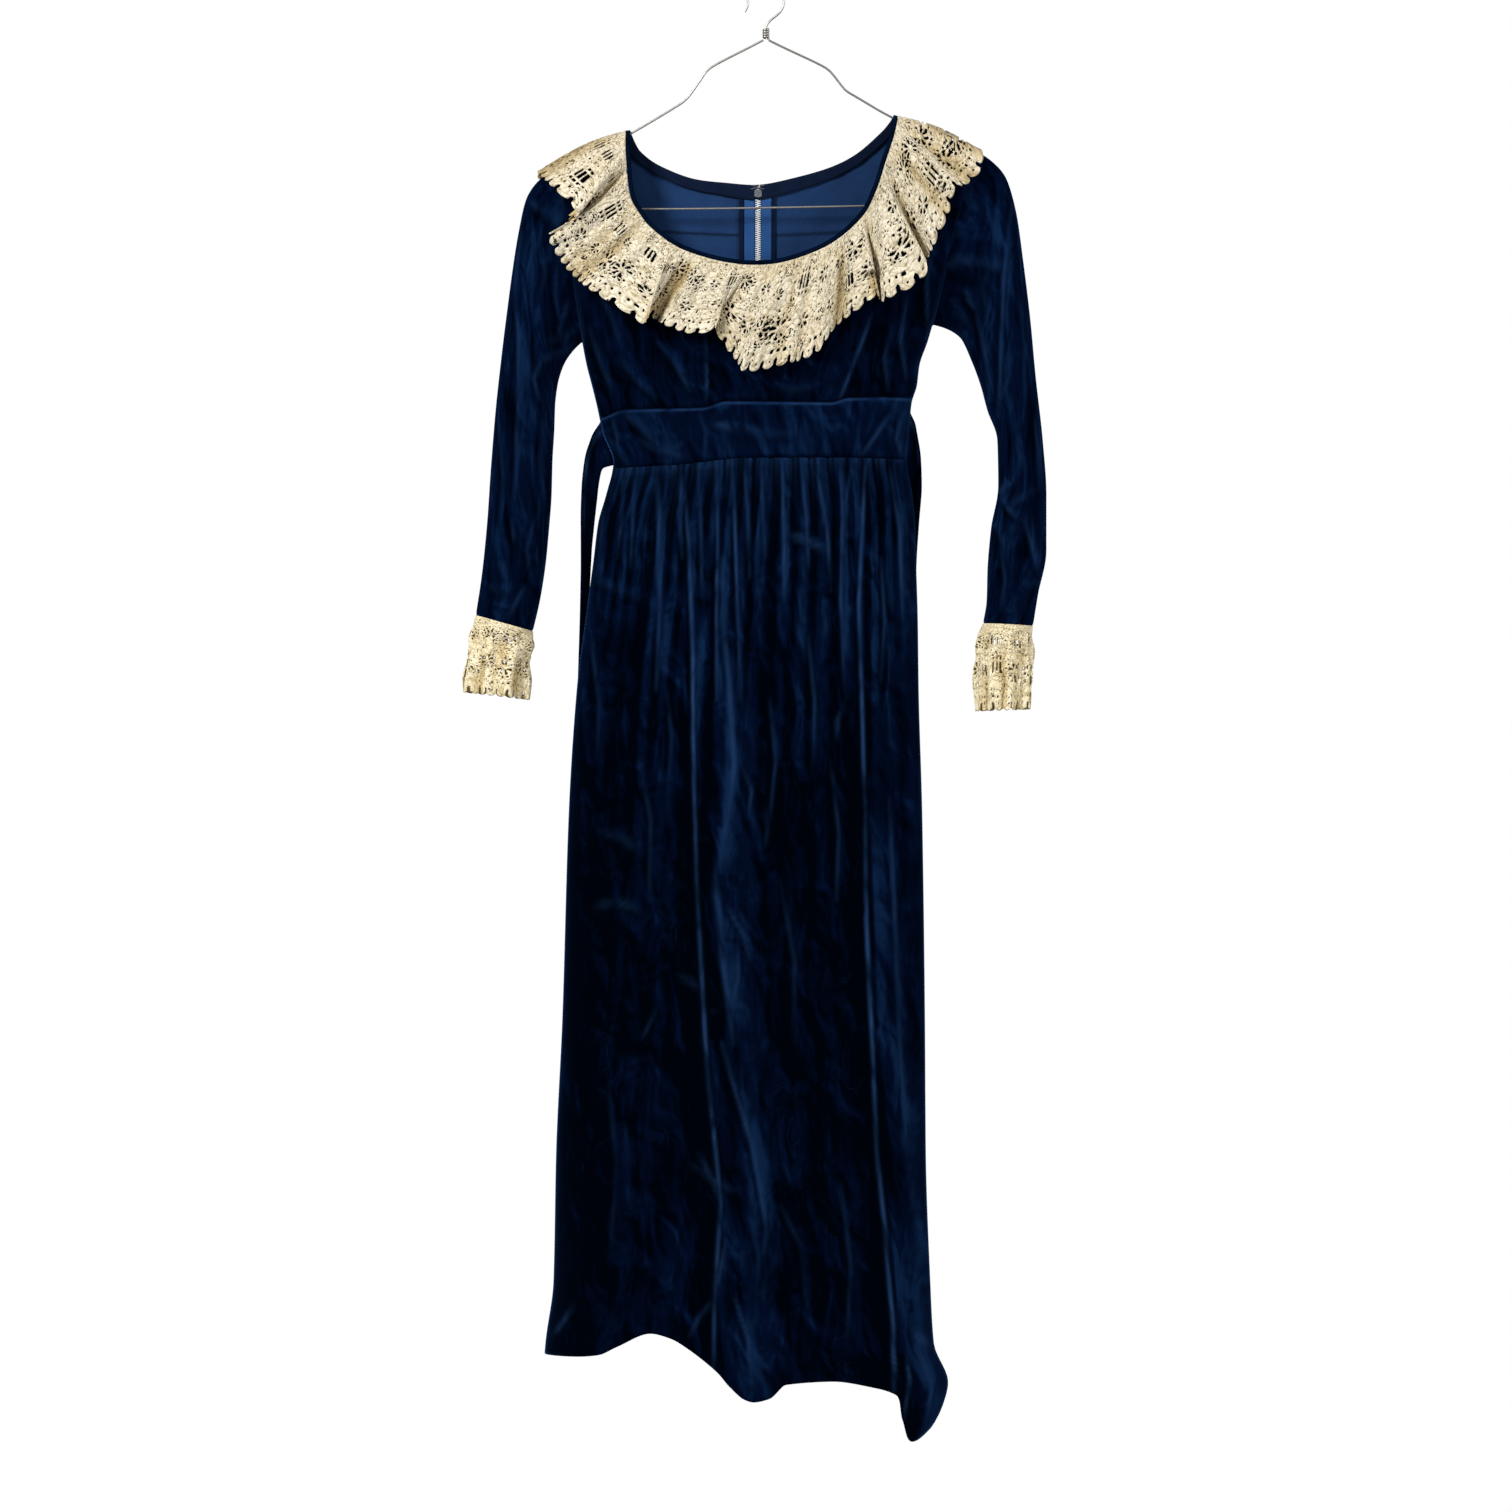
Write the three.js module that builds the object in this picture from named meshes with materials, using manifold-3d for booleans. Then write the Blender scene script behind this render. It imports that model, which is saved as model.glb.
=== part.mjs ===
// Long-sleeved velvet prairie dress with a lace ruffle collar and lace cuffs, hung on a wire hanger.
// Millimetres, +Z up, the front faces -Y, the wearer's right side is at -X.
// The origin is the inside top of the hanger's hook, where a rail carries it.
import * as THREE from 'three';
import { mergeVertices } from 'three/addons/utils/BufferGeometryUtils.js';
import Module from 'manifold-3d';

const wasm = await Module();
wasm.setup();

// ---- driving sizes ----
const VELVET = 1.6; // wall of the velvet with its backing
const LACE = 1.2; // wall of the cotton lace
const TIE_WALL = 3.0; // a tie is velvet folded double
const TAPE_WALL = 1.0;
const SEAM_GAP = 0.3; // pieces stay this far apart where they are sewn
const HALF_GAP = SEAM_GAP / 2;
const BINDING_WIDTH = 5.0;
const BINDING_WALL = 3.0;
const BINDING_PROUD = 0.9; // the binding stands this far above the bodice
const BINDING_FALL = 0.7; // its folded edges lie this much lower than its middle
const COLLAR_PROUD = 1.9; // the collar's outer face over the bodice's, at its neck edge
const RIDGE_DROP = 38; // height of the rounding below the shoulder ridge
const ROUNDNESS = 2.4; // exponent of the body's half sections: 2 is an ellipse
const BACK_SEAM_X = -9; // the centre-back seam and zip
const COLLAR_BACK_GAP = 7; // the collar stops this far from the centre-back seam

const ARMHOLES = {
  left: { topX: -235, topZ: -208, underX: -206, underZ: -401, front: 25, back: 22 },
  right: { topX: 234, topZ: -186, underX: 188, underZ: -382, front: 25, back: 22 },
};

const WIRE_RADIUS = 1.25;
const HOOK_BORE = 38; // the hook's inner diameter, for a 32 mm rail
const HOOK_STEM = [[0.6, -46.8], [2.6, -43.4], [6, -40.2]]; // its bend from the twist to the bow
const HOOK_LIP = [[-21.5, -27.5], [-24, -31.5]];
const HOOK_BOW = { from: -50, to: 190 }; // degrees
const TWIST = { low: -62, high: -49, turns: 3, radius: 4.2 };

const ZIP = { top: -238, bottom: -736, chainWidth: 6, chainDepth: 2.2, tapeWidth: 12 };
const PULL = {
  length: 26, width: 6.4, thickness: 1.2, loop: 5.2, rim: 1.5, waist: 4, tip: 5, pinRadius: 0.7,
};

// ---- the garment's sections, from the shoulder to the tip of the hem ----
// left and right are the side seams, front and back the depths from the side seams' plane
const BODY_ROWS = [
  { z: -146, left: -244, right: 246, front: 22, back: 18 },
  { z: -215, left: -234, right: 227, front: 25, back: 20 },
  { z: -276, left: -225, right: 213, front: 29, back: 22 },
  { z: -343, left: -215, right: 197, front: 34, back: 25 },
  { z: -401, left: -206, right: 181, front: 37, back: 27 },
  { z: -427, left: -201, right: 172, front: 37, back: 27 },
  { z: -450, left: -195, right: 169, front: 36, back: 27 },
  { z: -470, left: -190, right: 163, front: 34, back: 26 },
  { z: -505, left: -182, right: 160, front: 33, back: 26 },
  { z: -536, left: -171, right: 158, front: 33, back: 27 },
  { z: -572, left: -179, right: 164, front: 40, back: 33 },
  { z: -604, left: -188, right: 167, front: 45, back: 38 },
  { z: -644, left: -193, right: 168, front: 50, back: 42 },
  { z: -712, left: -202, right: 170, front: 55, back: 47 },
  { z: -791, left: -212, right: 171, front: 58, back: 51 },
  { z: -931, left: -221, right: 175, front: 62, back: 55 },
  { z: -1157, left: -228, right: 178, front: 66, back: 59 },
  { z: -1308, left: -235, right: 179, front: 69, back: 62 },
  { z: -1453, left: -238, right: 184, front: 72, back: 64 },
  { z: -1522, left: -247, right: 188, front: 74, back: 66 },
  { z: -1566, left: -250, right: 204, front: 76, back: 66 },
  { z: -1595, left: -250, right: 197, front: 78, back: 66 },
  { z: -1625, left: -250, right: 186, front: 80, back: 66 },
];

// the seam under the bust and the seam where the skirt is gathered into the band
const EMPIRE_SEAM = [
  { x: -260, z: -490 }, { x: -187, z: -487 }, { x: -159, z: -478 }, { x: -71, z: -476 },
  { x: -43, z: -469 }, { x: 72, z: -470 }, { x: 92, z: -465 }, { x: 143, z: -464 }, { x: 260, z: -470 },
];
const SKIRT_SEAM = [
  { x: -260, z: -545 }, { x: -169, z: -543 }, { x: -100, z: -540 }, { x: -20, z: -532.5 },
  { x: 84, z: -532 }, { x: 155, z: -533.5 }, { x: 260, z: -536 },
];
// the shoulder seams: their neck ends and how they slope down to the armholes
const SHOULDERS = { left: { x: -152, z: -164, slope: 0.53 }, right: { x: 143, z: -147, slope: -0.43 } };
// the hem's height across the front, from the left side seam (0) to the right one (1)
const HEM_FRONT = [
  { across: 0, z: -1533 }, { across: 0.08, z: -1532 }, { across: 0.14, z: -1529 },
  { across: 0.19, z: -1519 }, { across: 0.27, z: -1505 }, { across: 0.32, z: -1510 },
  { across: 0.37, z: -1522 }, { across: 0.435, z: -1546 }, { across: 0.46, z: -1561 },
  { across: 0.5, z: -1576 }, { across: 0.525, z: -1579 }, { across: 0.56, z: -1576 },
  { across: 0.6, z: -1561 }, { across: 0.715, z: -1558 }, { across: 0.81, z: -1565 },
  { across: 0.87, z: -1573 }, { across: 0.9, z: -1600 }, { across: 0.945, z: -1625 },
  { across: 0.985, z: -1614 }, { across: 1, z: -1592 },
];
const HEM_BACK = [
  { across: 0, z: -1533 }, { across: 0.25, z: -1516 }, { across: 0.5, z: -1530 },
  { across: 0.75, z: -1534 }, { across: 0.9, z: -1556 }, { across: 1, z: -1592 },
];

// gathers along the skirt's top, front: the ridge's place, its height and how far down it runs
const GATHERS_FRONT = [
  { x: -164, height: 2.5, length: 120 }, { x: -152, height: 3, length: 90 },
  { x: -142, height: 2.5, length: 110 }, { x: -128, height: 3, length: 130 },
  { x: -108, height: 5, length: 320 }, { x: -90, height: 4, length: 200 },
  { x: -75, height: 3.5, length: 180 }, { x: -55, height: 2.5, length: 260 },
  { x: -38, height: 3, length: 280 }, { x: -23, height: 3, length: 160 },
  { x: -6, height: 4, length: 240 }, { x: 17, height: 5, length: 200 },
  { x: 38, height: 4, length: 260 }, { x: 58, height: 4.5, length: 220 },
  { x: 80, height: 4, length: 200 }, { x: 95, height: 3.5, length: 240 },
  { x: 112, height: 4.5, length: 300 }, { x: 127, height: 3, length: 160 },
  { x: 142, height: 4, length: 200 },
];
const GATHERS_BACK_LEFT = [
  { x: -158, height: 3, length: 120 }, { x: -141, height: 3.5, length: 170 },
  { x: -122, height: 4.5, length: 260 }, { x: -103, height: 3.5, length: 150 },
  { x: -84, height: 4.5, length: 240 }, { x: -64, height: 4, length: 300 },
  { x: -46, height: 3.5, length: 180 }, { x: -29, height: 3, length: 130 },
];
const GATHERS_BACK_RIGHT = [
  { x: 12, height: 3, length: 130 }, { x: 29, height: 3.5, length: 190 },
  { x: 48, height: 4.5, length: 260 }, { x: 68, height: 4, length: 160 },
  { x: 88, height: 4.5, length: 300 }, { x: 107, height: 4, length: 210 },
  { x: 126, height: 3.5, length: 150 }, { x: 143, height: 3, length: 110 },
];
const SKIRT_EASE = 1.5; // the gathered edge stands this far out of the band
const GATHER_VALLEY = 0.7; // a valley between gathers is this share of a ridge's height deep

// long folds down the skirt: the ridge's place across, its height and half width, from the top down
const FOLDS_FRONT = [
  [
    { z: -600, x: -70, high: 0, wide: 26 }, { z: -800, x: -62, high: 8, wide: 26 },
    { z: -1090, x: -52, high: 15, wide: 28 }, { z: -1300, x: -38, high: 15, wide: 32 },
    { z: -1580, x: -28, high: 17, wide: 34 },
  ],
  [
    { z: -600, x: 118, high: 0, wide: 20 }, { z: -850, x: 120, high: 9, wide: 22 },
    { z: -1120, x: 130, high: 12, wide: 22 }, { z: -1400, x: 150, high: 15, wide: 24 },
    { z: -1620, x: 170, high: 24, wide: 34 },
  ],
  [
    { z: -800, x: -160, high: 0, wide: 34 }, { z: -1100, x: -160, high: 6, wide: 36 },
    { z: -1540, x: -182, high: 10, wide: 40 },
  ],
  [
    { z: -620, x: 28, high: 0, wide: 24 }, { z: -760, x: 30, high: 6, wide: 26 },
    { z: -960, x: 34, high: 0, wide: 30 },
  ],
];
const FOLDS_BACK = [
  [
    { z: -600, x: -104, high: 0, wide: 26 }, { z: -900, x: -112, high: 9, wide: 28 },
    { z: -1250, x: -126, high: 13, wide: 30 }, { z: -1560, x: -138, high: 14, wide: 34 },
  ],
  [
    { z: -780, x: -34, high: 0, wide: 22 }, { z: -1050, x: -38, high: 10, wide: 26 },
    { z: -1560, x: -52, high: 14, wide: 32 },
  ],
  [
    { z: -600, x: 70, high: 0, wide: 24 }, { z: -950, x: 72, high: 10, wide: 28 },
    { z: -1560, x: 66, high: 15, wide: 34 },
  ],
  [
    { z: -900, x: 130, high: 0, wide: 20 }, { z: -1300, x: 136, high: 8, wide: 24 },
    { z: -1570, x: 146, high: 14, wide: 30 },
  ],
];

// the neck opening, as seen from the front and from the back
const NECK_FRONT = [
  { x: -152, z: -164 }, { x: -151, z: -196 }, { x: -147, z: -236 }, { x: -137, z: -256 },
  { x: -123, z: -273 }, { x: -93, z: -294 }, { x: -49, z: -308 }, { x: -8, z: -312 },
  { x: 29, z: -306 }, { x: 71, z: -288 }, { x: 103, z: -260 }, { x: 118, z: -232 },
  { x: 129, z: -198 }, { x: 138, z: -170 }, { x: 143, z: -147 },
];
const NECK_BACK = [
  { x: -152, z: -164 }, { x: -147, z: -176 }, { x: -139, z: -188 }, { x: -119, z: -202 },
  { x: -83, z: -216 }, { x: -44, z: -221 }, { x: -8, z: -223 }, { x: 29, z: -216 },
  { x: 71, z: -204 }, { x: 101, z: -189 }, { x: 127, z: -167 }, { x: 138, z: -155 }, { x: 143, z: -147 },
];

// the ruffle's outer edge: its place along the neck, where it lies and how far it stands off
const RUFFLE_FRONT = [
  { along: 0, x: -252, z: -208, lift: 5 }, { along: 0.05, x: -236, z: -226, lift: 14 },
  { along: 0.1, x: -216, z: -254, lift: 4 }, { along: 0.15, x: -234, z: -284, lift: 15 },
  { along: 0.19, x: -224, z: -311, lift: 8 }, { along: 0.23, x: -203, z: -334, lift: 4 },
  { along: 0.28, x: -172, z: -354, lift: 17 }, { along: 0.33, x: -141, z: -372, lift: 12 },
  { along: 0.36, x: -127, z: -374, lift: 3 }, { along: 0.4, x: -103, z: -384, lift: 15 },
  { along: 0.44, x: -81, z: -391, lift: 11 }, { along: 0.48, x: -62, z: -386, lift: 3 },
  { along: 0.52, x: -40, z: -408, lift: 10 }, { along: 0.56, x: -16, z: -431, lift: 14 },
  { along: 0.61, x: 22, z: -423, lift: 5 }, { along: 0.65, x: 52, z: -413, lift: 13 },
  { along: 0.69, x: 80, z: -380, lift: 3 }, { along: 0.73, x: 106, z: -371, lift: 15 },
  { along: 0.77, x: 128, z: -357, lift: 4 }, { along: 0.81, x: 148, z: -344, lift: 14 },
  { along: 0.84, x: 168, z: -331, lift: 15 }, { along: 0.87, x: 176, z: -308, lift: 4 },
  { along: 0.9, x: 186, z: -282, lift: 16 }, { along: 0.925, x: 200, z: -257, lift: 5 },
  { along: 0.95, x: 206, z: -234, lift: 12 }, { along: 0.975, x: 226, z: -219, lift: 4 },
  { along: 0.99, x: 237, z: -202, lift: 11 }, { along: 1, x: 238, z: -185, lift: 5 },
];
// the back ruffle on each side, from the shoulder to the centre-back seam
const RUFFLE_BACK_LEFT = [
  { along: 0, x: -252, z: -208, lift: 5 }, { along: 0.1, x: -246, z: -232, lift: 13 },
  { along: 0.22, x: -226, z: -256, lift: 4 }, { along: 0.34, x: -196, z: -276, lift: 14 },
  { along: 0.46, x: -164, z: -288, lift: 4 }, { along: 0.58, x: -128, z: -298, lift: 14 },
  { along: 0.7, x: -96, z: -302, lift: 4 }, { along: 0.85, x: -54, z: -306, lift: 13 },
  { along: 1, x: -16, z: -306, lift: 4 },
];
const RUFFLE_BACK_RIGHT = [
  { along: 0, x: 238, z: -185, lift: 5 }, { along: 0.1, x: 236, z: -212, lift: 13 },
  { along: 0.22, x: 216, z: -238, lift: 4 }, { along: 0.34, x: 186, z: -260, lift: 14 },
  { along: 0.46, x: 152, z: -276, lift: 4 }, { along: 0.58, x: 116, z: -290, lift: 14 },
  { along: 0.7, x: 78, z: -300, lift: 4 }, { along: 0.85, x: 38, z: -305, lift: 13 },
  { along: 1, x: -2, z: -306, lift: 4 },
];

// sleeve sections from the armhole to the hem: the outer and inner edges and the depths
const SLEEVE_LEFT = [
  { outerX: -235, outerZ: -208, innerX: -206, innerZ: -401, front: 25, back: 22 },
  { outerX: -253, outerZ: -219, innerX: -216, innerZ: -411, front: 27, back: 24 },
  { outerX: -268, outerZ: -240, innerX: -226, innerZ: -426, front: 29, back: 26 },
  { outerX: -277, outerZ: -278, innerX: -233, innerZ: -448, front: 30, back: 27 },
  { outerX: -284, outerZ: -322, innerX: -236, innerZ: -472, front: 30, back: 27 },
  { outerX: -290, outerZ: -367, innerX: -237, innerZ: -500, front: 29, back: 26 },
  { outerX: -297, outerZ: -424, innerX: -239, innerZ: -534, front: 28, back: 26 },
  { outerX: -303, outerZ: -480, innerX: -240, innerZ: -572, front: 27, back: 25 },
  { outerX: -308, outerZ: -541, innerX: -243, innerZ: -612, front: 26, back: 24 },
  { outerX: -312, outerZ: -600, innerX: -247, innerZ: -652, front: 26, back: 24 },
  { outerX: -318, outerZ: -660, innerX: -253, innerZ: -690, front: 25, back: 23 },
  { outerX: -325, outerZ: -707, innerX: -261, innerZ: -725, front: 25, back: 23 },
];
const SLEEVE_RIGHT = [
  { outerX: 234, outerZ: -186, innerX: 188, innerZ: -382, front: 25, back: 22 },
  { outerX: 252, outerZ: -198, innerX: 201, innerZ: -386, front: 27, back: 24 },
  { outerX: 268, outerZ: -216, innerX: 217, innerZ: -396, front: 29, back: 26 },
  { outerX: 280, outerZ: -255, innerX: 230, innerZ: -422, front: 30, back: 27 },
  { outerX: 288, outerZ: -310, innerX: 240, innerZ: -449, front: 30, back: 27 },
  { outerX: 296, outerZ: -376, innerX: 248, innerZ: -478, front: 29, back: 26 },
  { outerX: 302, outerZ: -440, innerX: 259, innerZ: -512, front: 28, back: 26 },
  { outerX: 310, outerZ: -512, innerX: 260, innerZ: -562, front: 27, back: 25 },
  { outerX: 314, outerZ: -572, innerX: 252, innerZ: -610, front: 26, back: 24 },
  { outerX: 314, outerZ: -634, innerX: 248, innerZ: -655, front: 26, back: 24 },
  { outerX: 305, outerZ: -682, innerX: 247, innerZ: -690, front: 25, back: 23 },
  { outerX: 299, outerZ: -719, innerX: 243, innerZ: -716, front: 25, back: 23 },
];
const CUFF_LEFT = [
  { outerX: -325, outerZ: -707, innerX: -261, innerZ: -725, front: 25, back: 23, wave: 0 },
  { outerX: -330, outerZ: -729, innerX: -261, innerZ: -741, front: 26, back: 24, wave: 1 },
  { outerX: -332, outerZ: -736, innerX: -262, innerZ: -747, front: 27, back: 25, wave: 1.4 },
  { outerX: -334, outerZ: -759, innerX: -265, innerZ: -764, front: 28, back: 26, wave: 2.2 },
  { outerX: -335, outerZ: -766, innerX: -266, innerZ: -770, front: 28, back: 26, wave: 2.6 },
  { outerX: -337, outerZ: -789, innerX: -268, innerZ: -797, front: 29, back: 27, wave: 3.4 },
];
const CUFF_RIGHT = [
  { outerX: 299, outerZ: -719, innerX: 243, innerZ: -716, front: 25, back: 23, wave: 0 },
  { outerX: 298, outerZ: -740, innerX: 236, innerZ: -738, front: 26, back: 24, wave: 1 },
  { outerX: 298, outerZ: -747, innerX: 236, innerZ: -746, front: 27, back: 25, wave: 1.4 },
  { outerX: 297, outerZ: -770, innerX: 236, innerZ: -769, front: 28, back: 26, wave: 2.2 },
  { outerX: 297, outerZ: -777, innerX: 236, innerZ: -777, front: 28, back: 26, wave: 2.6 },
  { outerX: 294, outerZ: -808, innerX: 236, innerZ: -810, front: 29, back: 27, wave: 3.4 },
];
const SLEEVE_SIDES = 14;
const CUFF_SIDES = 28; // round the whole cuff
const CUFF_WAVES = 9;
const CUFF_GAP_ROWS = [1, 3];
const CUFF_SCALLOP = 5.6; // the drop of its scallops' tips

// the ties: both edges of the strip from the band's side seam down, and how far behind the
// side seams' plane they hang. Rows with "behind" lie on the skirt's back instead.
const TIE_LEFT = [
  { outX: -188, outZ: -485, inX: -173, inZ: -538, outY: 0, inY: 0 },
  { outX: -196, outZ: -508, inX: -183, inZ: -543, outY: 2, inY: 3 },
  { outX: -203, outZ: -530, inX: -187, inZ: -558, outY: 6, inY: 8 },
  { outX: -207, outZ: -565, inX: -190, inZ: -582, outY: 10, inY: 14 },
  { outX: -208, outZ: -600, inX: -193, inZ: -608, outY: 13, inY: 20 },
  { outX: -208, outZ: -644, inX: -197, inZ: -648, outY: 16, inY: 27 },
  { outX: -209, outZ: -700, inX: -200, inZ: -702, outY: 21, inY: 34 },
  { outX: -212, outZ: -791, inX: -198, inZ: -793, behind: true },
  { outX: -214, outZ: -880, inX: -190, inZ: -884, behind: true },
  { outX: -214, outZ: -980, inX: -184, inZ: -986, behind: true },
  { outX: -215, outZ: -1080, inX: -183, inZ: -1086, behind: true },
  { outX: -216, outZ: -1160, inX: -184, inZ: -1172, behind: true },
];
const TIE_RIGHT = [
  { outX: 163.4, outZ: -472, inX: 158.8, inZ: -532, outY: 0, inY: 0 },
  { outX: 169, outZ: -500, inX: 161, inZ: -540, outY: 6, inY: 9 },
  { outX: 174, outZ: -532, inX: 164, inZ: -558, outY: 12, inY: 20 },
  { outX: 175, outZ: -562, inX: 165, inZ: -580, outY: 16, inY: 28 },
  { outX: 172, outZ: -604, inX: 162, inZ: -612, outY: 20, inY: 34 },
  { outX: 169, outZ: -660, inX: 155, inZ: -664, behind: true },
  { outX: 168, outZ: -760, inX: 146, inZ: -764, behind: true },
  { outX: 168, outZ: -880, inX: 140, inZ: -884, behind: true },
  { outX: 169, outZ: -1000, inX: 138, inZ: -1004, behind: true },
  { outX: 170, outZ: -1130, inX: 138, inZ: -1142, behind: true },
];
const TIE_CLEARANCE = 5; // the tie's skirt side stands this far off the skirt's back

// the hanger's wire, from the left of the neck round to its right
const HANGER_RUN = [
  { x: -3, z: -63 }, { x: -10, z: -67 }, { x: -58, z: -91 }, { x: -67, z: -98 }, { x: -72, z: -106 },
  { x: -86, z: -126 }, { x: -92, z: -132 }, { x: -101, z: -138 }, { x: -152, z: -168.6 },
  { x: -218, z: -203.6 }, { x: -226, z: -208.5 }, { x: -231, z: -216 }, { x: -232, z: -226 },
  { x: -228, z: -237 }, { x: -219, z: -245 }, { x: -206, z: -250 }, { x: -132, z: -253 },
  { x: 108, z: -249 }, { x: 206, z: -246 }, { x: 219, z: -241 }, { x: 228, z: -232 },
  { x: 232, z: -220 }, { x: 232, z: -206 }, { x: 228, z: -195 }, { x: 220, z: -187 }, { x: 210, z: -181 },
  { x: 143, z: -151.8 }, { x: 100, z: -126 }, { x: 91, z: -121 }, { x: 86, z: -116 },
  { x: 77, z: -104 }, { x: 71, z: -97 }, { x: 62, z: -91 }, { x: 10, z: -67 }, { x: 3, z: -63 },
];

// ---- small helpers ----
// Reads a column of a table at any place between its rows, along a curve that never overshoots.
function reader(rows, key) {
  const sign = Math.sign(rows[rows.length - 1][key] - rows[0][key]);
  return (at, column) => {
    const last = rows.length - 1;
    if ((at - rows[0][key]) * sign <= 0) return rows[0][column];
    if ((at - rows[last][key]) * sign >= 0) return rows[last][column];
    let low = 0;
    while ((rows[low + 1][key] - at) * sign < 0) low += 1;
    const slope = (i) => (rows[i + 1][column] - rows[i][column]) / (rows[i + 1][key] - rows[i][key]);
    const tangent = (i) => {
      if (i === 0) return slope(0);
      if (i === last) return slope(last - 1);
      const before = slope(i - 1);
      const after = slope(i);
      return before * after <= 0 ? 0 : (2 * before * after) / (before + after);
    };
    const span = rows[low + 1][key] - rows[low][key];
    const t = (at - rows[low][key]) / span;
    const start = rows[low][column];
    const end = rows[low + 1][column];
    return (
      start * (1 + 2 * t) * (1 - t) ** 2 +
      end * t * t * (3 - 2 * t) +
      span * (tangent(low) * t * (1 - t) ** 2 - tangent(low + 1) * t * t * (1 - t))
    );
  };
}

const lerp = THREE.MathUtils.lerp;
const clamp = THREE.MathUtils.clamp;
const smooth = (value, low, high) => THREE.MathUtils.smoothstep(value, low, high);
const range = (count) => Array.from({ length: count + 1 }, (_, i) => i / count);
const insideCircle = (value) => Math.sqrt(Math.max(0, 1 - value * value));

// An indexed geometry with its faces turned outwards.
function solidFrom(points, faces) {
  let volume = 0;
  for (const [a, b, c] of faces) {
    volume += points[a].dot(new THREE.Vector3().crossVectors(points[b], points[c]));
  }
  const turned = volume < 0 ? faces.map(([a, b, c]) => [a, c, b]) : faces;
  const geometry = new THREE.BufferGeometry();
  geometry.setAttribute('position', new THREE.Float32BufferAttribute(points.flatMap((p) => p.toArray()), 3));
  geometry.setIndex(turned.flat());
  return geometry;
}

// A cloth wall between two grids of points, rows by columns. wrap joins the last column to the
// first; open says which cells are gaps cut through; tips adds a scallop to each last-row cell.
function wall({ outer, inner, wrap = false, open = () => false, tips = null }) {
  const rows = outer.length;
  const columns = outer[0].length;
  const cells = wrap ? columns : columns - 1;
  const points = [...outer.flat(), ...inner.flat()];
  const innerStart = rows * columns;
  const id = (row, column, side) => side * innerStart + row * columns + (column % columns);
  const faces = [];
  const quad = (a, b, c, d) => faces.push([a, b, c], [a, c, d]);
  const isOpen = (row, column) => {
    if (row < 0 || row >= rows - 1) return true;
    if (!wrap && (column < 0 || column >= cells)) return true;
    return open(row, (column + cells) % cells);
  };
  for (let row = 0; row < rows - 1; row += 1) {
    for (let column = 0; column < cells; column += 1) {
      if (isOpen(row, column)) continue;
      const corners = [[row, column], [row, column + 1], [row + 1, column + 1], [row + 1, column]];
      const [a, b, c, d] = corners.map(([r, k]) => id(r, k, 0));
      const [e, f, g, h] = corners.map(([r, k]) => id(r, k, 1));
      quad(a, b, c, d);
      quad(e, h, g, f);
      if (isOpen(row - 1, column)) quad(a, e, f, b);
      if (isOpen(row, column + 1)) quad(b, f, g, c);
      if (isOpen(row, column - 1)) quad(d, h, e, a);
      if (!isOpen(row + 1, column)) continue;
      if (!tips || row < rows - 2) {
        quad(c, g, h, d);
        continue;
      }
      const tip = points.push(tips.outer[column]) - 1;
      const tipInner = points.push(tips.inner[column]) - 1;
      faces.push([d, c, tip], [h, tipInner, g]);
      quad(c, g, tipInner, tip);
      quad(tip, tipInner, h, d);
    }
  }
  return solidFrom(points, faces);
}

// manifold-3d solid of a closed geometry, and back
function manifoldOf(geometry) {
  const bare = geometry.clone();
  bare.deleteAttribute('normal');
  bare.deleteAttribute('uv');
  const merged = mergeVertices(bare, 1e-4);
  return new wasm.Manifold(new wasm.Mesh({
    numProp: 3,
    vertProperties: merged.attributes.position.array,
    triVerts: new Uint32Array(merged.index.array),
  }));
}

function geometryOf(solid) {
  const mesh = solid.getMesh();
  const geometry = new THREE.BufferGeometry();
  geometry.setAttribute('position', new THREE.BufferAttribute(new Float32Array(mesh.vertProperties), 3));
  geometry.setIndex(new THREE.BufferAttribute(new Uint32Array(mesh.triVerts), 1));
  return geometry;
}

const cut = (geometry, tool) => geometryOf(manifoldOf(geometry).subtract(manifoldOf(tool)));
const join = (...parts) => geometryOf(parts.map(manifoldOf).reduce((all, part) => all.add(part)));

// ---- the body's surface ----
const body = reader(BODY_ROWS, 'z');
const empireZ = (x) => reader(EMPIRE_SEAM, 'x')(x, 'z');
const skirtSeamZ = (x) => reader(SKIRT_SEAM, 'x')(x, 'z');
// the shoulder ridge, with a straight line from one neck end to the other
function ridgeZ(x) {
  const { left, right } = SHOULDERS;
  const share = (x - left.x) / (right.x - left.x);
  const sides = [left, right].map((end) => end.z + end.slope * (x - end.x));
  return Math.min(...sides, lerp(left.z, right.z, share));
}

// the side edge at a height: the side seam, or above the underarm the straight armhole seam
function sideX(side, z, inset) {
  const { topX, topZ, underX, underZ } = ARMHOLES[side];
  const inwards = side === 'left' ? 1 : -1;
  if (z <= underZ) return body(z, side) + inwards * inset;
  const share = (z - underZ) / (topZ - underZ);
  return lerp(underX, topX, share) + inwards * (inset + HALF_GAP);
}

// depth of the armhole's seam at a height, half an ellipse
function armholeDepth(side, face, z, inset) {
  const { topZ, underZ } = ARMHOLES[side];
  const half = (topZ - underZ) / 2 - inset;
  const place = (z - (topZ + underZ) / 2) / half;
  return Math.max(0, ARMHOLES[side][face] - inset) * insideCircle(clamp(place, -1, 1));
}

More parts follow.
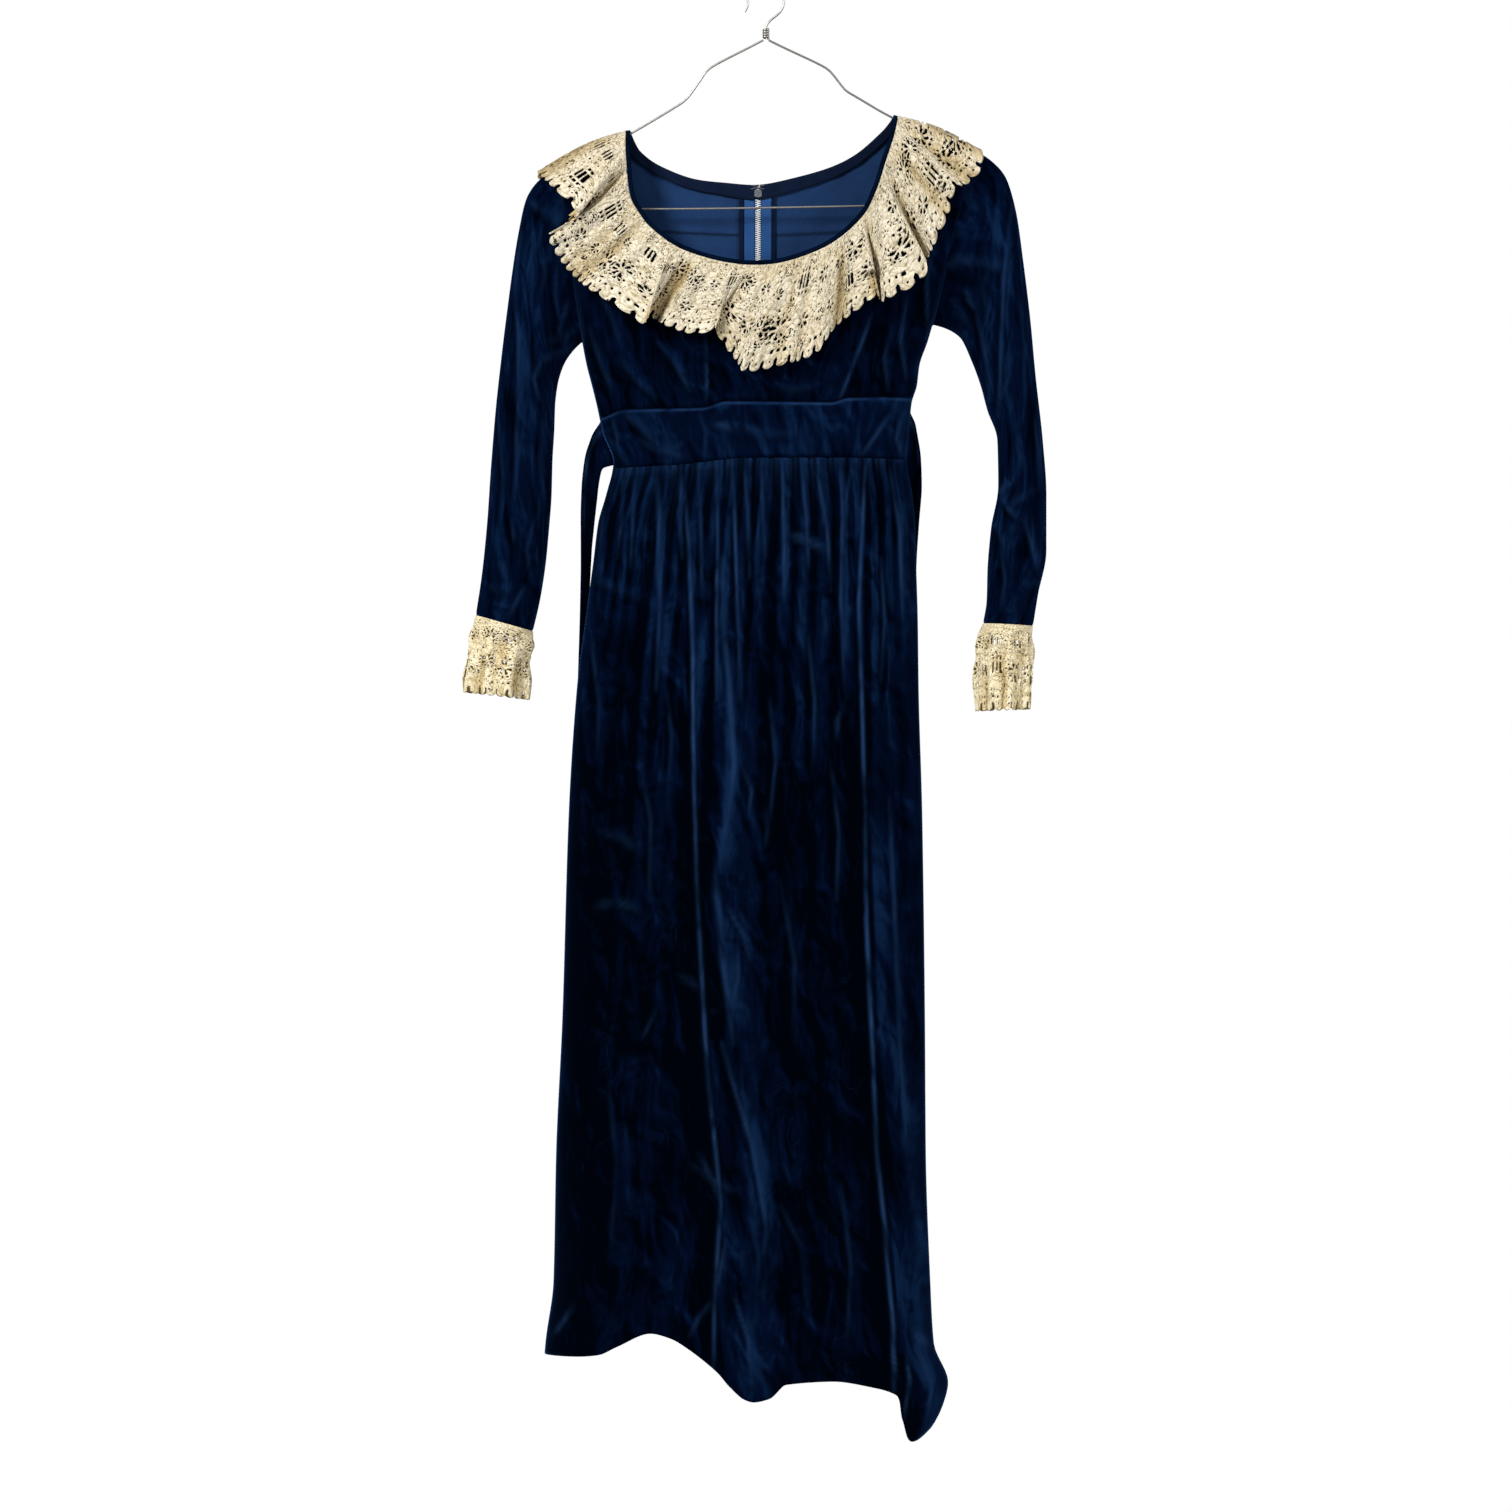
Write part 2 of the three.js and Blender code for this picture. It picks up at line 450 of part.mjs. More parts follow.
// depth of the body's front or back at a place across and a height; inset < 0 moves it out
function bodyDepth(face, x, z, inset) {
  const left = sideX('left', z, inset);
  const right = sideX('right', z, inset);
  const across = clamp((x - left) / (right - left), 0, 1);
  const roundness = Math.pow(1 - Math.pow(Math.abs(2 * across - 1), ROUNDNESS), 1 / ROUNDNESS);
  const drop = clamp((ridgeZ(x) - inset - z) / RIDGE_DROP, 0, 1);
  const edge = armholeDepth(across < 0.5 ? 'left' : 'right', face, z, inset);
  return lerp(edge, (body(z, face) - inset) * insideCircle(1 - drop), roundness);
}

const faceSign = { front: -1, back: 1 };
const bodyPoint = (face, x, z, inset, relief = 0) =>
  new THREE.Vector3(x, faceSign[face] * (HALF_GAP + bodyDepth(face, x, z, inset) + relief), z);

// A panel of the body between two seams. across lists the columns, down the rows; low and high
// give the seams' heights at a place; from and to are the panel's edges at a height.
function bodyPanel({ face, across, down, high, low, from, to, relief = () => 0 }) {
  const grid = (inset) => down.map((share) => across.map((column) => {
    let z = lerp(high(0, column, inset), low(0, column, inset), share);
    let x = 0;
    for (let pass = 0; pass < 4; pass += 1) {
      x = lerp(from(z, inset), to(z, inset), column);
      z = lerp(high(x, column, inset), low(x, column, inset), share);
    }
    return bodyPoint(face, x, z, inset, relief(x, z, column));
  }));
  return wall({ outer: grid(0), inner: grid(VELVET) });
}

const leftEdge = (z, inset) => sideX('left', z, inset);
const rightEdge = (z, inset) => sideX('right', z, inset);
const backSeamLeft = () => BACK_SEAM_X - HALF_GAP;
const backSeamRight = () => BACK_SEAM_X + HALF_GAP;

// ---- relief of the skirt: gathers at the top, long folds below ----
function gatherRelief(gathers, x, drop) {
  const marks = [];
  gathers.forEach((gather, i) => {
    marks.push({ x: gather.x, height: gather.height, length: gather.length });
    const next = gathers[i + 1];
    if (!next) return;
    marks.push({
      x: (gather.x + next.x) / 2,
      height: (-GATHER_VALLEY * (gather.height + next.height)) / 2,
      length: (gather.length + next.length) / 2,
    });
  });
  const edge = 12; // beyond the outer gathers the cloth is plain
  marks.unshift({ x: marks[0].x - edge, height: 0, length: 1 });
  marks.push({ x: marks[marks.length - 1].x + edge, height: 0, length: 1 });
  const height = (mark) => mark.height * Math.exp(-((Math.max(0, drop) / mark.length) ** 1.3));
  if (x <= marks[0].x || x >= marks[marks.length - 1].x) return 0;
  const i = marks.findIndex((mark) => mark.x > x) - 1;
  const t = smooth(x, marks[i].x, marks[i + 1].x);
  return lerp(height(marks[i]), height(marks[i + 1]), t);
}

function foldRelief(folds, x, z) {
  return folds.reduce((sum, rows) => {
    if (z > rows[0].z) return sum;
    const read = reader(rows, 'z');
    const away = (x - read(z, 'x')) / read(z, 'wide');
    return sum + read(z, 'high') * Math.exp(-away * away);
  }, 0);
}

// the gathers keep their share of the width as the skirt widens
const atSeam = (column) => lerp(body(-536, 'left'), body(-536, 'right'), column);
const ofSeam = (x) => (x - body(-536, 'left')) / (body(-536, 'right') - body(-536, 'left'));
// the side seams stay plain
const awayFromSides = (column) => smooth(column, 0, 0.05) * smooth(1 - column, 0, 0.05);

function skirtRelief(gathers, folds, x, z, column) {
  const drop = skirtSeamZ(x) - z;
  const topIn = smooth(drop, 0, 60);
  const gather = gatherRelief(gathers, atSeam(column), drop);
  return awayFromSides(column) * (gather + SKIRT_EASE + foldRelief(folds, x, z) * topIn);
}
function backRelief(x, z, column) {
  const gathers = column < ofSeam(BACK_SEAM_X) ? GATHERS_BACK_LEFT : GATHERS_BACK_RIGHT;
  return skirtRelief(gathers, FOLDS_BACK, x, z, column) * smooth(Math.abs(x - BACK_SEAM_X), 17, 34);
}

// columns at every gather's ridge and valley, with a few more beside the side seams
function gatherColumns(gathers, start, end) {
  const ridges = gathers.map((gather) => ofSeam(gather.x));
  const valleys = ridges.slice(1).map((ridge, i) => (ridge + ridges[i]) / 2);
  return [...start, ...[...ridges, ...valleys].sort((a, b) => a - b), ...end];
}

const SKIRT_DOWN = [0, 0.015, 0.045, 0.09, 0.15, 0.23, 0.33, 0.44, 0.56, 0.68, 0.8, 0.9, 1];

function skirtFront() {
  const hem = reader(HEM_FRONT, 'across');
  return bodyPanel({
    face: 'front',
    across: gatherColumns(GATHERS_FRONT, [0, 0.006], [0.975, 0.994, 1]),
    down: SKIRT_DOWN,
    high: (x) => skirtSeamZ(x) - HALF_GAP,
    low: (x, column) => hem(column, 'z'),
    from: leftEdge,
    to: rightEdge,
    relief: (x, z, column) => skirtRelief(GATHERS_FRONT, FOLDS_FRONT, x, z, column),
  });
}

// A back panel runs from its side seam to the centre-back seam; column 0 is at the left.
function skirtBack(side) {
  const hem = reader(HEM_BACK, 'across');
  const isLeft = side === 'left';
  const gathers = isLeft ? GATHERS_BACK_LEFT : GATHERS_BACK_RIGHT;
  const seam = ofSeam(BACK_SEAM_X);
  const span = isLeft ? [0, seam] : [seam, 1];
  const whole = (column) => lerp(span[0], span[1], column);
  const part = (column) => (column - span[0]) / (span[1] - span[0]);
  const columns = gatherColumns(gathers, [], []).map(part);
  const across = isLeft ? [0, 0.014, ...columns, 0.94, 1] : [0, 0.06, ...columns, 0.986, 1];
  return bodyPanel({
    face: 'back',
    across,
    down: SKIRT_DOWN,
    high: (x) => skirtSeamZ(x) - HALF_GAP,
    low: (x, column) => hem(whole(column), 'z'),
    from: isLeft ? leftEdge : backSeamRight,
    to: isLeft ? backSeamLeft : rightEdge,
    relief: (x, z, column) => backRelief(x, z, whole(column)),
  });
}

function bandPanel(face, across, from, to) {
  return bodyPanel({
    face,
    across,
    down: range(3),
    high: (x) => empireZ(x) - HALF_GAP,
    low: (x) => skirtSeamZ(x) + HALF_GAP,
    from,
    to,
  });
}

// ---- bodice ----
const BODICE_DOWN = [0, 0.012, 0.04, 0.08, 0.13, 0.2, 0.28, 0.37, 0.46, 0.55, 0.64, 0.73, 0.82, 0.91, 1];
// a column of each panel ends at each neck end of the shoulder seams
const FULL_COLUMNS = [0, 0.01, 0.04, 0.1, 0.177, 0.24, 0.3, 0.36, 0.43, 0.5,
  0.57, 0.64, 0.7, 0.76, 0.806, 0.88, 0.95, 0.99, 1];
const LEFT_HALF = [0, 0.02, 0.08, 0.18, 0.27, 0.367, 0.5, 0.66, 0.83, 1];
const RIGHT_HALF = [0, 0.17, 0.34, 0.5, 0.6255, 0.73, 0.82, 0.92, 0.98, 1];

// bust darts: shallow troughs that fade upwards
const DARTS = [
  { topX: -67, topZ: -385, lowX: -66, lowZ: -476, deep: 2.5, wide: 13 },
  { topX: 112, topZ: -390, lowX: 81, lowZ: -476, deep: 2.5, wide: 13 },
];
function dartRelief(x, z) {
  return DARTS.reduce((sum, dart) => {
    const down = clamp((dart.topZ - z) / (dart.topZ - dart.lowZ), 0, 1);
    const away = (x - lerp(dart.topX, dart.lowX, down)) / dart.wide;
    return sum - dart.deep * smooth(down, 0, 0.6) * Math.exp(-away * away);
  }, 0);
}

const NECK_MIDDLE = new THREE.Vector2(BACK_SEAM_X, -160);
const NECK_STEPS = 400;

// Resamples a path across the body's face at even steps of its real length; grow moves the path
// outwards from the neck opening, and the surface out of the body by proud.
function neckPath(face, rows, steps, grow, proud) {
  const flat = new THREE.SplineCurve(rows.map((row) => new THREE.Vector2(row.x, row.z)));
  const dense = range(NECK_STEPS).map((t) => {
    const at = flat.getPoint(t);
    const ahead = flat.getTangent(t);
    const out = new THREE.Vector2(-ahead.y, ahead.x);
    if (out.dot(at.clone().sub(NECK_MIDDLE)) < 0) out.negate();
    const place = at.addScaledVector(out, grow);
    const y = faceSign[face] * (HALF_GAP + bodyDepth(face, place.x, place.y, -proud));
    return new THREE.Vector3(place.x, y, place.y);
  });
  const lengths = [0];
  dense.slice(1).forEach((point, i) => lengths.push(lengths[i] + point.distanceTo(dense[i])));
  const total = lengths[lengths.length - 1];
  return steps.map((share) => {
    const i = clamp(lengths.findIndex((length) => length >= share * total), 1, lengths.length - 1);
    const t = (share * total - lengths[i - 1]) / (lengths[i] - lengths[i - 1]);
    return dense[i - 1].clone().lerp(dense[i], t);
  });
}

// how far along the neck's path, as a share of its length, a place across lies
function neckShare(rows, x) {
  const steps = range(600);
  const path = neckPath('back', rows, steps, BINDING_WIDTH / 2, 0);
  return steps[path.findIndex((point) => point.x >= x)];
}

// a prism through the body along Y that cuts out the neck opening, with the binding's width
function neckCutter(face, rows) {
  const edge = neckPath(face, rows, range(40), BINDING_WIDTH + SEAM_GAP, 0);
  const lift = 60;
  const shape = new THREE.Shape(edge.map((point) => new THREE.Vector2(point.x, point.z)));
  shape.lineTo(edge[edge.length - 1].x, lift + edge[edge.length - 1].z);
  shape.lineTo(edge[0].x, lift + edge[0].z);
  const reach = 120;
  const prism = new THREE.ExtrudeGeometry(shape, { depth: reach, bevelEnabled: false });
  prism.rotateX(Math.PI / 2); // the extrusion now runs along -Y
  return face === 'front' ? prism : prism.translate(0, reach, 0);
}

// the notch at the top of the centre-back seam, where the slider sits
const SLOT = { width: 10, height: 12, depth: 60, aboveZip: 5 };
const slotCutter = () => new THREE.BoxGeometry(SLOT.width, SLOT.depth, SLOT.height)
  .translate(BACK_SEAM_X, SLOT.depth / 2, ZIP.top + SLOT.aboveZip);

function bodicePanel(face, across, from, to, neckRows) {
  const panel = bodyPanel({
    face,
    across,
    down: BODICE_DOWN,
    high: (x, column, inset) => ridgeZ(x) - inset,
    low: (x) => empireZ(x) + HALF_GAP,
    from,
    to,
    relief: face === 'front' ? dartRelief : () => 0,
  });
  return cut(panel, neckCutter(face, neckRows));
}

// ---- neck binding: a folded strip that fills the neck's cut edge ----
function binding(face, rows, steps) {
  const grid = (proud) => {
    const low = proud - BINDING_FALL;
    const inside = neckPath(face, rows, steps, 0, low);
    const middle = neckPath(face, rows, steps, BINDING_WIDTH / 2, proud);
    const outside = neckPath(face, rows, steps, BINDING_WIDTH - 0.2, low);
    return [inside, middle, outside];
  };
  return wall({ outer: grid(BINDING_PROUD), inner: grid(BINDING_PROUD - BINDING_WALL) });
}

// ---- lace ----
// rows of the ruffle from the neck edge out; the narrow rows hold the cut-through gaps
const RUFFLE_ROWS = [0, 0.26, 0.34, 0.62, 0.71, 1];
const RUFFLE_GAP_ROWS = [1, 3];
const SCALLOP = 4; // a scallop's tip stands this far beyond its ends
const RUFFLE_WIDTH = 80; // about, from the neck to the outer edge
const RUFFLE_STAND = 3; // the ruffle stands this far off the bodice from its first rows on
const RUFFLE_PUFF = 9; // how far it bulges where it goes over the shoulders
const PUFF_RISE = 0.6; // the share of the bulge that points up there
const SHOULDER_LIFT = 0.35; // the share of an edge's lift that is left on the shoulders
const SHOULDER_ZONE = { above: 4, below: 26 }; // the change from shoulder to chest

function ruffle(face, neckRows, edgeRows, columns, startShare, endShare) {
  const edge = reader(edgeRows, 'along');
  const grid = (inset) => {
    const steps = range(columns).map((t) => lerp(startShare, endShare, t));
    const neck = neckPath(face, neckRows, steps, BINDING_WIDTH + SEAM_GAP, COLLAR_PROUD);
    const place = (column, out) => {
      const t = column / columns;
      const k = Math.min(Math.floor(column), columns - 1);
      const from = neck[k].clone().lerp(neck[k + 1], column - k);
      const x = lerp(from.x, edge(t, 'x'), out);
      const z = lerp(from.z, edge(t, 'z'), out);
      const below = ridgeZ(x) + COLLAR_PROUD + SHOULDER_ZONE.above - z;
      const onChest = smooth(below, 0, SHOULDER_ZONE.below);
      const puff = RUFFLE_PUFF * Math.sin(Math.PI * Math.min(1, out)) * (1 - onChest);
      const lift = edge(t, 'lift') * Math.pow(out, 0.8) * lerp(SHOULDER_LIFT, 1, onChest);
      const stand = COLLAR_PROUD + RUFFLE_STAND * Math.min(1, out * 4);
      const depth = bodyDepth(face, x, z, -stand) + lift - inset;
      const point = new THREE.Vector3(x, faceSign[face] * (HALF_GAP + Math.max(0, depth)), z);
      point.z += (1 - onChest) * (puff * PUFF_RISE - inset);
      return point;
    };
    const tipShare = 1 + SCALLOP / RUFFLE_WIDTH;
    return {
      rows: RUFFLE_ROWS.map((out) => range(columns).map((t) => place(t * columns, out))),
      tips: range(columns - 1).map((_, column) => place(column + 0.5, tipShare)),
    };
  };
  const outer = grid(0);
  const inner = grid(LACE);
  return wall({
    outer: outer.rows,
    inner: inner.rows,
    tips: { outer: outer.tips, inner: inner.tips },
    open: (row, column) => RUFFLE_GAP_ROWS.includes(row) && (column + row) % 3 === 1 &&
      column > 0 && column < columns - 1,
  });
}

// ---- tubes: sleeves and cuffs ----
// a ring of points round a section; wave and waves add gathers round it
function ring(section, angles, inset, shift) {
  const outer = new THREE.Vector3(section.outerX, 0, section.outerZ);
  const inner = new THREE.Vector3(section.innerX, 0, section.innerZ);
  const middle = outer.clone().add(inner).multiplyScalar(0.5);
  const half = outer.distanceTo(inner) / 2;
  const along = outer.clone().sub(middle).normalize();
  return angles.map((angle) => {
    const gather = (section.wave ?? 0) * Math.cos(CUFF_WAVES * angle);
    const depth = Math.sin(angle) >= 0 ? section.front : section.back;
    const y = -Math.sin(angle) * (depth - inset + gather);
    return middle.clone()
      .addScaledVector(along, Math.cos(angle) * (half - inset + gather))
      .add(new THREE.Vector3(0, y, 0))
      .add(shift);
  });
}

const turn = (count, start, end) => range(count).map((t) => lerp(start, end, t) * Math.PI * 2);

function sleeve(sections, side) {
  const outwards = side === 'left' ? -1 : 1;
  const angles = turn(SLEEVE_SIDES, 0, 1).slice(0, -1);
  const shifts = sections.map((_, i) => new THREE.Vector3(
    i === 0 ? outwards * HALF_GAP : 0,
    0,
    i === sections.length - 1 ? HALF_GAP : 0,
  ));
  const grid = (inset) => sections.map((section, i) => ring(section, angles, inset, shifts[i]));
  return wall({ outer: grid(0), inner: grid(VELVET), wrap: true });
}

// A cuff's half, front or back, with every other gap row cut through and a scalloped edge.
function cuffHalf(sections, face) {
  const count = CUFF_SIDES / 2;
  const [start, end] = face === 'front' ? [0, 0.5] : [0.5, 1];
  const seamShift = new THREE.Vector3(0, faceSign[face] * HALF_GAP, 0);
  const shifts = sections.map((_, i) => seamShift.clone().setZ(i === 0 ? -HALF_GAP : 0));
  const angles = turn(count, start, end);
  const tipAngles = turn(count, start, end).slice(0, -1).map((angle) => angle + Math.PI / CUFF_SIDES);
  const bottom = sections[sections.length - 1];
  const low = { ...bottom, outerZ: bottom.outerZ - CUFF_SCALLOP, innerZ: bottom.innerZ - CUFF_SCALLOP };
  const grid = (inset) => sections.map((section, i) => ring(section, angles, inset, shifts[i]));
  const tips = (inset) => ring(low, tipAngles, inset, seamShift);
  return wall({
    outer: grid(0),
    inner: grid(LACE),
    tips: { outer: tips(0), inner: tips(LACE) },
    open: (row, column) => CUFF_GAP_ROWS.includes(row) && (column + row) % 3 === 1 &&
      column > 0 && column < count - 1,
  });
}

// ---- ties ----
function tie(rows) {
  const skirtY = (x, z) => {
    const column = (x - sideX('left', z, 0)) / (sideX('right', z, 0) - sideX('left', z, 0));
    return bodyDepth('back', x, z, 0) + backRelief(x, z, clamp(column, 0, 1)) + TIE_CLEARANCE;
  };
  const grid = (off) => rows.map((row) => [0, 0.5, 1].map((t) => {
    const x = lerp(row.outX, row.inX, t);
    const z = lerp(row.outZ, row.inZ, t);
    const y = row.behind ? skirtY(row.inX, row.inZ) : lerp(row.outY, row.inY, t);
    return new THREE.Vector3(x, HALF_GAP + y + off, z);
  }));
  return wall({ outer: grid(TIE_WALL), inner: grid(0) });
}

// ---- zip ----
const ZIP_GAP = 0.7; // a little clear of the cloth, which bends between its sections
const backInside = (x, z) => bodyPoint('back', x, z, VELVET).y - ZIP_GAP;
const ZIP_ROWS = 16;

// a strip down the inside of the back, between two places across, of a given depth
function backStrip(fromX, toX, depth) {
  const heights = range(ZIP_ROWS).map((t) => lerp(ZIP.top, ZIP.bottom, t));
  const at = (x, z, off) => new THREE.Vector3(x, Math.min(backInside(fromX, z), backInside(toX, z)) - off, z);
  const grid = (off) => heights.map((z) => [at(fromX, z, off), at(toX, z, off)]);
  return wall({ outer: grid(0), inner: grid(depth) });
}

// The slider closes the chain's top: a rounded body with an arch over the pull tab's pin.
const SLIDER = { width: 8.4, height: 9, low: ZIP.top + 0.5 };
const sliderMiddleZ = SLIDER.low + SLIDER.height / 2;
const clothY = bodyPoint('back', BACK_SEAM_X, sliderMiddleZ, 0).y;
const pinY = clothY + 3.4;
const sliderFaceY = pinY - 1.2;
const ARCH = { inner: 1.4, outer: 2.6, width: 1.8, foot: 1.6 };
const SLIDER_OVER = 0.8; // its back stands this far over the teeth

function zipSlider() {
  const inside = backInside(BACK_SEAM_X, sliderMiddleZ) - ZIP.chainDepth - SLIDER_OVER;
  const outline = new THREE.Shape();
  const half = SLIDER.width / 2;
  const low = -SLIDER.height / 2;
  const high = SLIDER.height / 2;
  outline.moveTo(-half, low + 1.5);
  outline.quadraticCurveTo(-half * 0.8, low, 0, low);
  outline.quadraticCurveTo(half * 0.8, low, half, low + 1.5);
  outline.lineTo(half * 0.9, high - 1);
  outline.quadraticCurveTo(0, high + 0.6, -half * 0.9, high - 1);
  outline.closePath();
  const block = new THREE.ExtrudeGeometry(outline, {
    depth: sliderFaceY - inside, bevelEnabled: false, curveSegments: 4,
  });
  block.rotateX(Math.PI / 2); // the outline's y becomes +Z and the depth runs along -Y
  block.translate(BACK_SEAM_X, sliderFaceY, sliderMiddleZ);
  const arch = new THREE.Shape();
  arch.absarc(0, 0, ARCH.outer, -Math.PI / 2, Math.PI / 2, false);
  arch.lineTo(-ARCH.foot, ARCH.outer);
  arch.lineTo(-ARCH.foot, ARCH.inner);
  arch.lineTo(0, ARCH.inner);
  arch.absarc(0, 0, ARCH.inner, Math.PI / 2, -Math.PI / 2, true);
  arch.lineTo(-ARCH.foot, -ARCH.inner);
  arch.lineTo(-ARCH.foot, -ARCH.outer);
  arch.closePath();
  const bridge = new THREE.ExtrudeGeometry(arch, {
    depth: ARCH.width, bevelEnabled: false, curveSegments: 6,
  });
  // the shape's x becomes +Y and its y becomes +Z
  bridge.applyMatrix4(new THREE.Matrix4().makeBasis(
    new THREE.Vector3(0, 1, 0), new THREE.Vector3(0, 0, 1), new THREE.Vector3(1, 0, 0),
  ));
  bridge.translate(BACK_SEAM_X - ARCH.width / 2, pinY, sliderMiddleZ);
  return join(block, bridge);
}

// The pull tab hangs from its pin; its loop goes round the slider's arch.
function pullTab() {
  const outline = new THREE.Shape();
  const half = PULL.width / 2;
  const shoulder = -PULL.loop - 2;
  const waist = shoulder - PULL.waist;
  const tip = -PULL.length;
  outline.moveTo(-half, PULL.pinRadius);
  outline.lineTo(-half, shoulder);
  outline.quadraticCurveTo(-half * 0.6, waist, -half * 0.75, tip + PULL.tip);
  outline.quadraticCurveTo(-half * 0.9, tip, 0, tip);
  outline.quadraticCurveTo(half * 0.9, tip, half * 0.75, tip + PULL.tip);
  outline.quadraticCurveTo(half * 0.6, waist, half, shoulder);
  outline.lineTo(half, PULL.pinRadius);
  outline.closePath();
  const loop = new THREE.Path();
  const inside = half - PULL.rim;
  loop.moveTo(-inside, -PULL.pinRadius);
  loop.lineTo(inside, -PULL.pinRadius);
  loop.lineTo(inside, -PULL.loop);
  loop.lineTo(-inside, -PULL.loop);
  loop.closePath();
  outline.holes.push(loop);
  const tab = new THREE.ExtrudeGeometry(outline, {
    depth: PULL.thickness, bevelEnabled: false, curveSegments: 4,
  });
  tab.rotateX(Math.PI / 2); // hangs down, its thickness along Y
  return tab.translate(BACK_SEAM_X, pinY + PULL.thickness / 2, sliderMiddleZ);
}

// ---- wire ----
// A curve through bends that are given point by point, with a ring of the sweep at each.
class WireRun extends THREE.Curve {
  constructor(points) {
    super();
    this.points = points;
  }

  getPoint(t, target = new THREE.Vector3()) {
    const place = clamp(t, 0, 1) * (this.points.length - 1);
    const i = Math.min(Math.floor(place), this.points.length - 2);
    return target.lerpVectors(this.points[i], this.points[i + 1], place - i);
  }

  getPointAt(t, target) {
    return this.getPoint(t, target);
  }

  getTangentAt(t, target) {
    return this.getTangent(t, target);
  }
}

function wire(points, radius, sides) {
  const section = new THREE.Shape(turn(sides, 0, 1).slice(0, -1).map(
    (angle) => new THREE.Vector2(Math.cos(angle) * radius, Math.sin(angle) * radius),
  ));
  return new THREE.ExtrudeGeometry(section, { steps: points.length - 1, extrudePath: new WireRun(points) });
}

function hangerHook() {
  const radius = HOOK_BORE / 2 + WIRE_RADIUS;
  const centreZ = -HOOK_BORE / 2;
  const stem = [[0, TWIST.low], [0, TWIST.high], ...HOOK_STEM];
  const bow = range(14).map((t) => {
    const angle = THREE.MathUtils.degToRad(lerp(HOOK_BOW.from, HOOK_BOW.to, t));
    return [radius * Math.cos(angle), centreZ + radius * Math.sin(angle)];
  });
  return wire([...stem, ...bow, ...HOOK_LIP].map(([x, z]) => new THREE.Vector3(x, 0, z)), WIRE_RADIUS, 6);
}

// The wire's end wound round the stem, as stacked turns.
function hangerTwist() {
  const bore = WIRE_RADIUS + SEAM_GAP;
  const pitch = (TWIST.high - TWIST.low) / TWIST.turns;
  const profile = [new THREE.Vector2(bore, TWIST.low)];
  range(TWIST.turns * 3).forEach((t) => {
    const z = lerp(TWIST.low, TWIST.high, t);
    const swell = Math.abs(Math.sin((Math.PI * (z - TWIST.low)) / pitch));
    profile.push(new THREE.Vector2(TWIST.radius - WIRE_RADIUS + WIRE_RADIUS * swell, z));
  });
  profile.push(new THREE.Vector2(bore, TWIST.high), new THREE.Vector2(bore, TWIST.low));
  return new THREE.LatheGeometry(profile, 10).rotateX(Math.PI / 2);
}

const FASTENER_Z = -226; // the hook and eye inside the neck's back edge
const FASTENER_RADIUS = 0.5;
const FASTENER_GAP = 1.2; // from its wire's middle to the cloth
function neckFastener(points) {
  const y = bodyPoint('back', BACK_SEAM_X, FASTENER_Z, BINDING_WALL).y - FASTENER_GAP;
  const run = points.map(([x, z]) => new THREE.Vector3(BACK_SEAM_X + x, y, FASTENER_Z + z));
  return wire(run, FASTENER_RADIUS, 6);
}
const NECK_HOOK = [
  [-8, -1.8], [-6.4, -2.4], [-5, -1.2], [-0.8, -1.2], [0.2, 0],
  [-0.8, 1.2], [-5, 1.2], [-6.4, 2.4], [-8, 1.8],
];
const NECK_EYE = [
  [7, -1.8], [5.6, -2.4], [4.6, -1.4], [3, -1.8], [1.7, -0.9],
  [1.7, 0.9], [3, 1.8], [4.6, 1.4], [5.6, 2.4], [7, 1.8],
];

// ---- materials and the assembled group ----
const FINISHES = {
  velvet: { color: 0x0f2748, roughness: 0.95, metalness: 0 },
  velvetEdge: { color: 0x081527, roughness: 0.9, metalness: 0 },
  lace: { color: 0xe8dfc2, roughness: 0.9, metalness: 0 },
  tape: { color: 0x24477a, roughness: 0.9, metalness: 0 },
  zipMetal: { color: 0xb9bcc0, roughness: 0.35, metalness: 1 },
  wireSteel: { color: 0x8d8983, roughness: 0.4, metalness: 1 },
};

const group = new THREE.Group();
function add(name, geometry, finish) {
  const mesh = new THREE.Mesh(geometry, new THREE.MeshStandardMaterial(FINISHES[finish]));
  mesh.name = name;
  group.add(mesh);
}

const slot = slotCutter();
const backBodiceLeft = bodicePanel('back', LEFT_HALF, leftEdge, backSeamLeft, NECK_BACK);
const backBodiceRight = bodicePanel('back', RIGHT_HALF, backSeamRight, rightEdge, NECK_BACK);
add('front_bodice', bodicePanel('front', FULL_COLUMNS, leftEdge, rightEdge, NECK_FRONT), 'velvet');
add('back_bodice_left', cut(backBodiceLeft, slot), 'velvet');
add('back_bodice_right', cut(backBodiceRight, slot), 'velvet');
add('band_front', bandPanel('front', FULL_COLUMNS, leftEdge, rightEdge), 'velvet');
add('band_back_left', bandPanel('back', LEFT_HALF, leftEdge, backSeamLeft), 'velvet');
add('band_back_right', bandPanel('back', RIGHT_HALF, backSeamRight, rightEdge), 'velvet');
add('skirt_front', skirtFront(), 'velvet');
add('skirt_back_left', skirtBack('left'), 'velvet');
add('skirt_back_right', skirtBack('right'), 'velvet');
add('sleeve_left', sleeve(SLEEVE_LEFT, 'left'), 'velvet');
add('sleeve_right', sleeve(SLEEVE_RIGHT, 'right'), 'velvet');
add('tie_left', tie(TIE_LEFT), 'velvet');
add('tie_right', tie(TIE_RIGHT), 'velvet');

